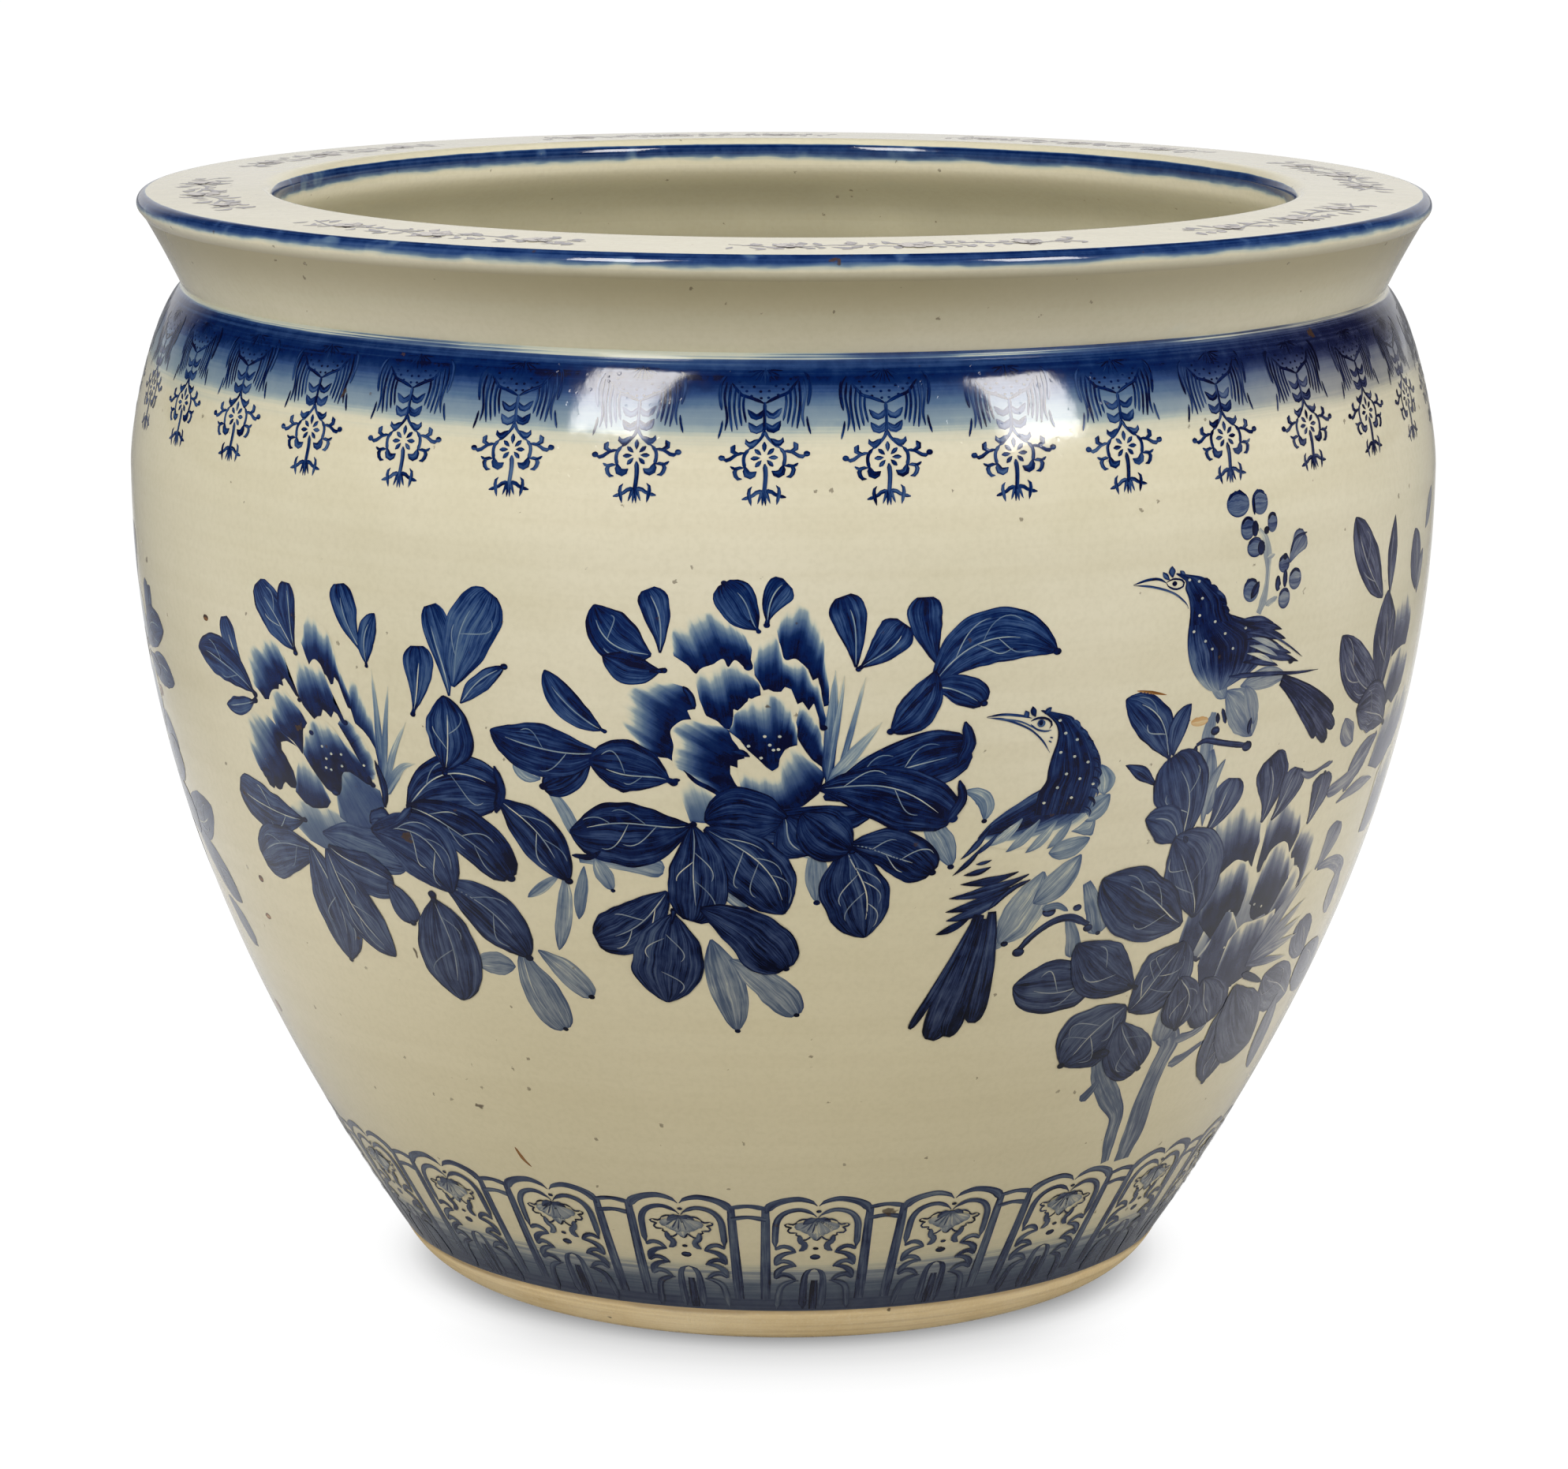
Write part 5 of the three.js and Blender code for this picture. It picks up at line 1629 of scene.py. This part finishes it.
def upper_bird(painting):
    painting.leaves([
        (39.4, 144, 43.2, 165, 16, 0.05, "plump", 0.34), (41, 143, 46.6, 142, 9, 0.05, "plump", 0.34),
        (37.6, 139, 39.4, 147, 7, 0.05, "plump", 0.38), (41.6, 143, 43.2, 160, 8, 0.05, "plump", 0.32),
    ])
    painting.trail((38.3, 152, 38, 160, 38, 170, 38, 179), [4, 7, 7, 5], 0.32, 0.7)
    painting.alike([
        (46.2, 142, 54.8, 163, 6), (46.1, 143, 55.4, 170, 6.5), (46, 144.5, 54.4, 175, 7),
        (46.6, 147, 52.4, 172, 5),
    ], 0.02, "feather", 0.93, wobble=0.03)

    def body(t, s):
        across = (s + 1) / 2
        belly = 0.45 * eased((0.34 - across) / 0.3) * eased(t / 0.5) + 0.6 * eased((t - 0.66) / 0.34)
        return np.clip(0.97 - belly * (1 - 0.3 * across), 0.25, 0.98)

    painting.filled(
        (34.8, 112, 34.7, 120, 34.9, 127, 35.4, 133, 36.2, 138, 37.2, 142, 38.2, 143.6),
        (39.2, 112.5, 41, 115.3, 42.5, 117, 44.2, 120, 44.3, 125, 43.8, 130, 43, 135, 41.4, 139,
         39.4, 142.6),
        15, body, 48,
    )

    painting.filled(
        (33.2, 93.6, 34.2, 97, 34.2, 100, 34.6, 104, 34.8, 109, 34.8, 115),
        (33.3, 93.2, 34.6, 94.4, 36, 96, 37, 99.5, 38.2, 103.5, 38.6, 106, 38.8, 110, 39.4, 115),
        11, neck_ink(0.84, 0.12, 0.2, 0.75), 32,
    )
    known, sides = (97, 103, 109, 116), (36.4, 38, 38.7, 39.4)
    neck_feathers(painting, 98 + 3.0 * np.arange(6), known, sides, (-0.6, -1.4, 0.1, 0.4, 0.1, 2.4), 2)
    painting.alike([
        (40.4, 115.6, 44.5, 119.4, 3.6), (41, 118, 45.5, 122.2, 3.8), (41, 121, 46.1, 126.4, 4),
        (41, 124, 45.3, 128.4, 3.4), (42, 127, 46, 130.4, 3), (42.4, 128.6, 47, 133, 3),
        (42, 131, 48.1, 137, 3.4), (41, 133, 45.4, 137, 3),
    ], 0.04, "blade", 0.9)
    painting.alike([
        (41.8, 123.4, 45.4, 130.6, 2.4), (41.6, 126.6, 45.2, 133, 2.2), (41.4, 129.6, 44.8, 135.4, 2),
    ], 0.04, "blade", 0.2)
    painting.blob((47.1, 136.2), 1.6, 1.2, 0.98)
    painting.trails([
        ((39.5, 138, 44, 139.5, 48, 141.6, 51.2, 142.4), [2.4, 2, 1.4, 0.6], 0.8),
        ((43, 121, 46, 128, 48.6, 135.4), [1, 0.9, 0.5], 0.76),
        ((29.1, 96.2, 30.5, 94.8, 31.6, 95, 32.3, 96.8), [0.5, 1.1, 1.2, 0.8], 0.76),
        ((29.1, 96.4, 31, 97.8, 33, 101, 34.3, 105.5, 34.6, 108), [0.5, 0.9, 0.9, 0.8, 0.6], 0.62),
        ((32.3, 96.5, 33, 95.4, 33.9, 96.4, 34, 98.6, 33.2, 99.6, 32.4, 97.9, 32.3, 96.8), 0.8, 0.82),
    ])
    painting.blob((33.1, 97.3), 1.2, 1.0, 0.98)
    painting.alike([
        (32.6, 95.6, 31.9, 92.2, 2.2), (32.9, 94.8, 32.8, 90.2, 3.2), (34.2, 94.4, 33.6, 92.4, 2),
    ], 0.05, "blade", 0.84)
    painting.white_dots(34.6, 96.5, 35.6, 97.5, 36, 104.5, 35.8, 111.3, 37.5, 114.6, 35.3, 117.5, 41, 119,
        38.7, 120, 36.6, 122, 37.4, 125.6, 39.7, 126.6)
    painting.trails([
        ((36.8, 165, 37.8, 163.5, 40, 166, 42.6, 168.6), [2, 2.8, 2.6, 2.8], 0.88, 0.8),
        ((36.8, 165, 36.7, 169, 37.2, 174), [2.4, 2.6, 1.6], 0.86),
        ((38.7, 152.5, 38.9, 157), [2, 2.6], 0.9), ((39.2, 151, 39.8, 157.5), [1.8, 2.2], 0.86),
        ((42.8, 157, 42.7, 161, 42.8, 164), [1.4, 2.6, 1.4], 0.9),
    ])
    painting.spots([(42.8, 169, 2.8), (38.7, 160, 2.4)], 0.93)


def blossom(painting):
    painting.trails([
        ((42.1, 80, 42.8, 84, 43.2, 90, 43.3, 97, 43.2, 103, 42.9, 109, 42.4, 114), [3, 4, 5, 2.5, 2.5, 4,
         5], 0.22, 0.6),
        ((43.2, 92, 44.1, 91), [2.4, 1.6], 0.22), ((43.2, 111, 44.6, 108.5), [3, 2], 0.22),
    ])
    arc = np.radians(np.linspace(200, 320, 9))
    for angle, drop, wide, high, tone in [
        (39.8, 69, 6.2, 5.2, 0.5), (42.3, 69.3, 4.6, 5, 0.5), (40.8, 79, 4, 4.7, 0.56),
        (43.7, 78, 2.9, 4, 0.5),
        (41.7, 87, 4.6, 4, 0.56), (41.4, 104, 4.5, 4.8, 0.46), (45.3, 95.5, 3.4, 3.6, 0.58),
        (46.8, 102.4, 4, 4.4, 0.46), (45.5, 109.6, 3.6, 4.2, 0.46),
    ]:
        painting.blob((angle, drop), wide, high, tone, rim=0.1)
        middle, scale = painting.to_plane((angle, drop))
        edge = middle[0] + np.stack([np.cos(arc) * wide, np.sin(arc) * high], axis=1) * 0.88
        painting.line(edge, scale, 1.3, 0.86)
    painting.leaf((46, 95.5), (47.9, 84.6), 10, 0.05, "fan", 0.5)
    painting.trails([
        ((46, 92, 46.7, 86, 48.2, 84.4), [0.8, 1.6, 1], 0.86),
        ((41.6, 66, 41.55, 70, 41.6, 74), [1, 1.8, 1.2], 0.95),
    ])
    for *place, wide, high in [
        (41.65, 79.5, 1.9, 3.2), (43, 80.8, 1.6, 1.6), (42.4, 87.5, 2.1, 3), (44.6, 103, 1.6, 3.2),
        (45.5, 101.5, 1.4, 3.6), (45.4, 92.6, 1.4, 1.4),
    ]:
        painting.blob(place, high, wide, 0.97, turn=90)
    painting.trail((42.3, 101, 41.9, 104, 41.4, 107.5), [2, 4, 1.6], 0.96)
    painting.white_dots(45, 104.6, size=0.9)


def far_right_spray(painting):
    painting.petals([
        ((66, 150, 67, 147, 68.4, 150, 70.4, 146, 70.8, 138), (65.6, 132, 67.4, 125, 69.6, 128, 70.8, 132),
         0.72, 0.3),
        ((65.6, 176, 67.4, 168, 69.4, 172, 71.4, 164), (66, 152, 68, 149, 70.4, 150, 72, 154), 0.8, 0.35),
        ((65.8, 196, 69, 200, 73, 196, 75, 186), (67, 178, 70, 172, 74, 170, 77, 176), 0.5, 0.3, 1.1),
        ((70, 230, 73, 232, 76, 228), (70, 206, 73, 198, 77, 202), 0.4, 0.3, 1.1),
    ])
    painting.leaves([
        (61.8, 120, 55.6, 83, 18, 0.04, "plump", 0.8, 2), (63.4, 120, 63.7, 87, 10, 0.02, "blade", 0.76, 1),
        (71.4, 124, 69.6, 97, 17, -0.02, "plump", 0.74, 1), (72, 126, 73.4, 108, 8, 0.05, "plump", 0.5),
        (74, 100, 77, 84, 10, 0.0, "plump", 0.4), (64.4, 162, 63, 118, 23, 0.03, "plump", 0.8, 2),
        (64.2, 163, 54.6, 131, 21, 0.08, "plump", 0.82, 4), (60, 180, 57.4, 168, 11, 0.1, "plump", 0.46),
        (67, 177, 59.4, 166, 22, -0.1, "plump", 0.82, 2, 0, 1.5),
        (65.8, 182, 60.6, 203, 13, -0.1, "plump", 0.6), (66, 181, 57, 200, 7, 0.1, "feather", 0.42),
        (59.4, 237, 61.8, 217, 15, -0.06, "fan", 0.44), (59.6, 207, 68, 203, 6, 0.05, "blade", 0.36),
        (60, 237, 68, 246, 8, 0.1, "feather", 0.4), (66.6, 241, 68.6, 266, 13, -0.05, "plump", 0.42),
        (65.6, 282, 61, 261, 18, 0.1, "square", 0.7, 1), (66.4, 303, 56.6, 284, 24, 0.04, "plump", 0.72, 3),
        (63, 300, 66.6, 341, 15, -0.04, "plump", 0.5), (75, 302, 65.6, 280, 26, 0.06, "plump", 0.66, 2),
    ])


def stains(painting):
    """Rust coloured marks of iron in the glaze, and scratches."""
    for *place, half_long, half_short, tone in [
        (-74.5, 172, 4, 2.5, 0.6), (-71, 316, 4, 3, 0.6), (-57.5, 127, 2.2, 1.4, 0.8),
        (-57.5, 241, 2, 1.6, 0.7),
        (-59, 260, 2.4, 1.4, 0.6), (36.8, 155, 4.5, 2, 0.25), (34.8, 154, 1.6, 0.8, 0.6),
    ]:
        painting.blob(place, half_long, half_short, tone)
    painting.trails([
        ((30, 139, 31.6, 140.4, 33, 142), [0.8, 1.4, 0.6], 0.45),
        ((34.6, 153.6, 35.2, 154.2, 35.8, 154), [0.6, 1.0, 0.5], 0.45),
        ((-31, 352, -30.4, 358, -29.6, 362), [1, 1.8, 0.8], 0.6),
    ])


def painted(name, seed, *pictures, material=BRUSHED, slot="glaze", **setting):
    painting = Painting(seed, **setting)
    for picture in pictures:
        picture(painting)
    painting.object(name, material, slot)


def pendant_border(painting):
    for k in range(PENDANTS):
        drift = painting.random.normal(0, PENDANT_DRIFT)
        pendant(painting, PENDANT_START + 360 / PENDANTS * k + drift)


def lappet_border(painting):
    for k in range(LAPPETS):
        lappet(painting, LAPPET_START + 360 / LAPPETS * k)


def rim_sprigs(painting):
    for k in range(RIM_SPRIGS):
        rim_sprig(painting, RIM_SPRIG_START + 360 / RIM_SPRIGS * k)


painted("pendant_border", 3, pendant_border)
painted("lappet_border", 4, lappet_border)
painted("rim_sprigs", 5, rim_sprigs, material=WORN, slot="rim_glaze", onto=on_rim_top, scale_at=rim_scale)

LEFT_SPRAY = (left_head, left_upper_leaves, left_lower_leaves)
CENTRE_SPRAY = (centre_head, centre_upper_leaves, centre_lower_leaves)
RIGHT_SPRAY = (trunks, right_head, right_leaves)

painted("spray_left", 11, *LEFT_SPRAY)
painted("spray_centre", 12, *CENTRE_SPRAY)
painted("bird_lower", 13, lower_bird)
painted("bird_upper", 14, upper_bird)
painted("blossom_twig", 15, blossom)
painted("spray_right", 16, *RIGHT_SPRAY)
painted("spray_far_right", 17, far_right_spray)
painted("leaves_far_left", 18, far_left_leaves)
painted("iron_stains", 19, stains, material=STAINED)

# The far side, with the same sprays set out again
BACK_SHIFT = 140
FAR_SHIFT = 229
SIDE_SHIFT = -128
BACK_SWAY = 0.6

painted("spray_back_left", 21, left_head, left_lower_leaves, shift=BACK_SHIFT, sway=BACK_SWAY)
painted("spray_back_centre", 22, *CENTRE_SPRAY, shift=BACK_SHIFT, sway=BACK_SWAY)
painted("bird_back_lower", 23, lower_bird, shift=BACK_SHIFT)
painted("bird_back_upper", 24, upper_bird, shift=BACK_SHIFT)
painted("blossom_back", 25, blossom, shift=BACK_SHIFT, sway=BACK_SWAY)
painted("spray_back_right", 26, *RIGHT_SPRAY, shift=BACK_SHIFT, sway=BACK_SWAY)
painted("spray_back_far", 27, *CENTRE_SPRAY, shift=FAR_SHIFT, sway=BACK_SWAY)
painted("spray_side_left", 28, *LEFT_SPRAY, shift=SIDE_SHIFT, mirror=True, sway=BACK_SWAY)


# Floor, light and camera

CAMERA_PLACE = (0.00066, -2.300, 0.6873)
CAMERA_PITCH = 11.26
SENSOR_WIDTH = 36.0
LENS = 123.5
FLOOR_RADIUS = 40.0
FLOOR_STEP = 5
CAMERA_ROLL = 0.00321
WORLD_STRENGTH = 0.065
MIRRORED_WALL = 0.72
MIRRORED_ROOM = 0.012
# The whiteness of the floor at distances in metres from the middle of the foot, in front and at the sides,
# dark near the foot as a painted shadow
SHADOW_STOPS = [
    (0.000, 0.02), (0.130, 0.10), (0.145, 0.40), (0.150, 0.50), (0.158, 0.66), (0.167, 0.76), (0.184, 0.88),
    (0.200, 0.955), (0.225, 1.02),
]
SIDE_SHADOW_STOPS = [
    (0.000, 0.02), (0.130, 0.10), (0.144, 0.30), (0.149, 0.42), (0.155, 0.57), (0.160, 0.72), (0.166, 0.87),
    (0.173, 0.96), (0.183, 1.02),
]
LIGHT_COLOUR = (1.0, 0.97, 0.925)
LIGHTS_AIM = (0, -0.1, 0.35)
CAMERA_REACH = 200
BOUNCE_SIZE = 0.24
BOUNCE_WATTS = 0.45
BOUNCE_HEIGHT = 0.08
NEAR_GLOW = 0.2
FAR_GLOW = 0.03
SIDE_GLOW = 0.55
# Where the paper that the glaze mirrors changes, in metres from the middle, and by how much
TURN_TO_SIDE = (0.5, 0.88)
FRONT_RANGE = (0.2, 0.42)
SIDE_RANGE = (0.12, 0.40)
SIDE_END = (0.5, 0.95)
SIDE_END_SHARE = 0.12
FORWARD_RANGE = (-0.7, -0.15)
FORWARD_SHARE = 0.1
LATER_ON_LEFT = 0.4


def floor_glow(tree):
    """White paper that glows for the camera, with a painted shadow under the foot, and what the glaze
    mirrors of it.

    The glaze mirrors a glow that only reflections see, as a painted reflection: dim paper in front and
    bright paper at the sides.
    The second value is 1 for all other light.
    """
    x, y, _ = tree.split(tree.place())
    distance = tree.vector("LENGTH", tree.joined(x, y, 0.0), output="Value")
    wide = tree.math("ABSOLUTE", x)
    sideways = tree.between(tree.math("DIVIDE", wide, distance), *TURN_TO_SIDE)
    # The painted shadow under the foot, from the distance in front and at the sides
    shadows = []
    for stops in (SHADOW_STOPS, SIDE_SHADOW_STOPS):
        reach = stops[-1][0]
        share = tree.math("DIVIDE", distance, reach, clamp=True)
        shadows.append(tree.ramp(share, [(at / reach, glow) for at, glow in stops]))
    front_shadow = tree.times(shadows[0], tree.math("SUBTRACT", 1.0, sideways))
    seen = tree.plus(front_shadow, tree.times(shadows[1], sideways))
    in_front = tree.between(tree.times(y, -1.0), *FRONT_RANGE, NEAR_GLOW, FAR_GLOW)
    aside = tree.between(wide, *SIDE_RANGE, 0.0, SIDE_GLOW)
    aside = tree.times(aside, tree.between(wide, *SIDE_END, 1.0, SIDE_END_SHARE))
    forward = tree.plus(y, tree.times(tree.math("MINIMUM", x, 0.0), LATER_ON_LEFT))
    aside = tree.times(aside, tree.between(forward, *FORWARD_RANGE, FORWARD_SHARE, 1.0))
    path = tree.node("ShaderNodeLightPath").outputs
    seen = tree.times(seen, path["Is Camera Ray"])
    mirrored = tree.times(tree.plus(in_front, aside), path["Is Glossy Ray"])
    other = tree.math("SUBTRACT", 1.0, tree.math("MAXIMUM", path["Is Camera Ray"], path["Is Glossy Ray"]))
    return tree.plus(seen, mirrored), other


def placed(name, data, location, rotation=(0, 0, 0)):
    """An object of the studio, at a place and a turn."""
    piece = bpy.data.objects.new(name, data)
    bpy.context.scene.collection.objects.link(piece)
    piece.location = location
    piece.rotation_euler = rotation
    return piece


def floor():
    angle = np.radians(np.arange(0, 360, FLOOR_STEP))
    points = np.stack([np.cos(angle), np.sin(angle), np.zeros(len(angle))], axis=1) * FLOOR_RADIUS / MM
    piece = mesh_object("floor", points, [list(range(len(angle)))], smooth=False)
    material, tree, sockets = new_material(
        "floor_paper", Roughness=0.9, Specular_IOR_Level=0.1, Emission_Color=(1, 1, 1, 1),
    )
    glow, lit = floor_glow(tree)
    paper = tree.mix(tree.noise(tree.place(), 300.0, 3.0), linear("#c9c9c9"), linear("#cdcdcd"))
    tree.feed(sockets["Base Color"], tree.mix(lit, linear("#000000"), paper))
    tree.feed(sockets["Emission Strength"], glow)
    piece.data.materials.append(material)


def softbox(name, azimuth, elevation, distance, width, height, watts, mirrored=False):
    """A rectangular light seen from the bowl at an azimuth (0 towards the camera) and an elevation."""
    light = bpy.data.lights.new(name, "AREA")
    light.color = LIGHT_COLOUR
    light.shape = "RECTANGLE"
    light.size = width
    light.size_y = height
    light.energy = watts
    turn, rise = math.radians(azimuth), math.radians(elevation)
    away = (math.sin(turn) * math.cos(rise), -math.cos(turn) * math.cos(rise), math.sin(rise))
    place = [a + distance * d for a, d in zip(LIGHTS_AIM, away)]
    placed(name, light, place, (math.pi / 2 - rise, 0, turn)).visible_glossy = mirrored


def inside_bounce():
    """The light that the white floor of the bowl throws up on its own wall."""
    light = bpy.data.lights.new("inside_bounce", "AREA")
    light.shape = "DISK"
    light.size = BOUNCE_SIZE
    light.energy = BOUNCE_WATTS
    piece = placed("inside_bounce", light, (0, 0, BOUNCE_HEIGHT), (math.pi, 0, 0))
    piece.visible_glossy = False
    piece.visible_camera = False


def camera():
    data = bpy.data.cameras.new("camera")
    data.sensor_fit = "HORIZONTAL"
    data.sensor_width = SENSOR_WIDTH
    data.lens = LENS
    data.clip_end = CAMERA_REACH
    piece = placed("camera", data, CAMERA_PLACE)
    piece.rotation_mode = "ZYX"
    piece.rotation_euler = (math.radians(90 - CAMERA_PITCH), 0, CAMERA_ROLL)
    bpy.context.scene.camera = piece


def surroundings():
    """A pale studio: white to look at and behind the bowl, dim elsewhere for what the glaze reflects."""
    world = bpy.data.worlds.new("studio")
    world.use_nodes = True
    tree = Tree(world.node_tree)
    sky = world.node_tree.nodes["Background"]
    sky.inputs["Color"].default_value = (1, 1, 1, 1)
    _, y, z = tree.split(tree.node("ShaderNodeTexCoord").outputs["Generated"])
    behind = tree.between(y, 0.70, 0.97)
    low = tree.between(z, 0.25, 0.6, 1.0, 0.0)
    path = tree.node("ShaderNodeLightPath")
    mirrored = tree.math("MAXIMUM", tree.times(tree.times(behind, low), MIRRORED_WALL), MIRRORED_ROOM)
    others = tree.between(path.outputs["Is Glossy Ray"], 0.0, 1.0, WORLD_STRENGTH, mirrored)
    tree.feed(sky.inputs["Strength"], tree.math("MAXIMUM", path.outputs["Is Camera Ray"], others))
    bpy.context.scene.world = world
    bpy.context.scene.view_settings.view_transform = "Standard"
    bpy.context.scene.view_settings.look = "None"


floor()
# Each light: azimuth, elevation, distance, width, height and watts
softbox("softbox_right", 46, 30, 2.2, 0.53, 0.84, 22.5, mirrored=True)
softbox("softbox_left", -31, 36, 2.2, 0.50, 1.02, 26, mirrored=True)
softbox("fill_right", 95, 25, 2.4, 1.2, 1.2, 22)
softbox("fill_left", -90, 25, 2.4, 1.2, 1.2, 16)
softbox("fill_back", 180, 8, 2.4, 1.2, 1.2, 34)
softbox("low_left", -55, 4, 2.4, 0.9, 0.8, 7)
softbox("overhead", 0, 89, 2.2, 1.6, 1.6, 20.5)
inside_bounce()
surroundings()
camera()
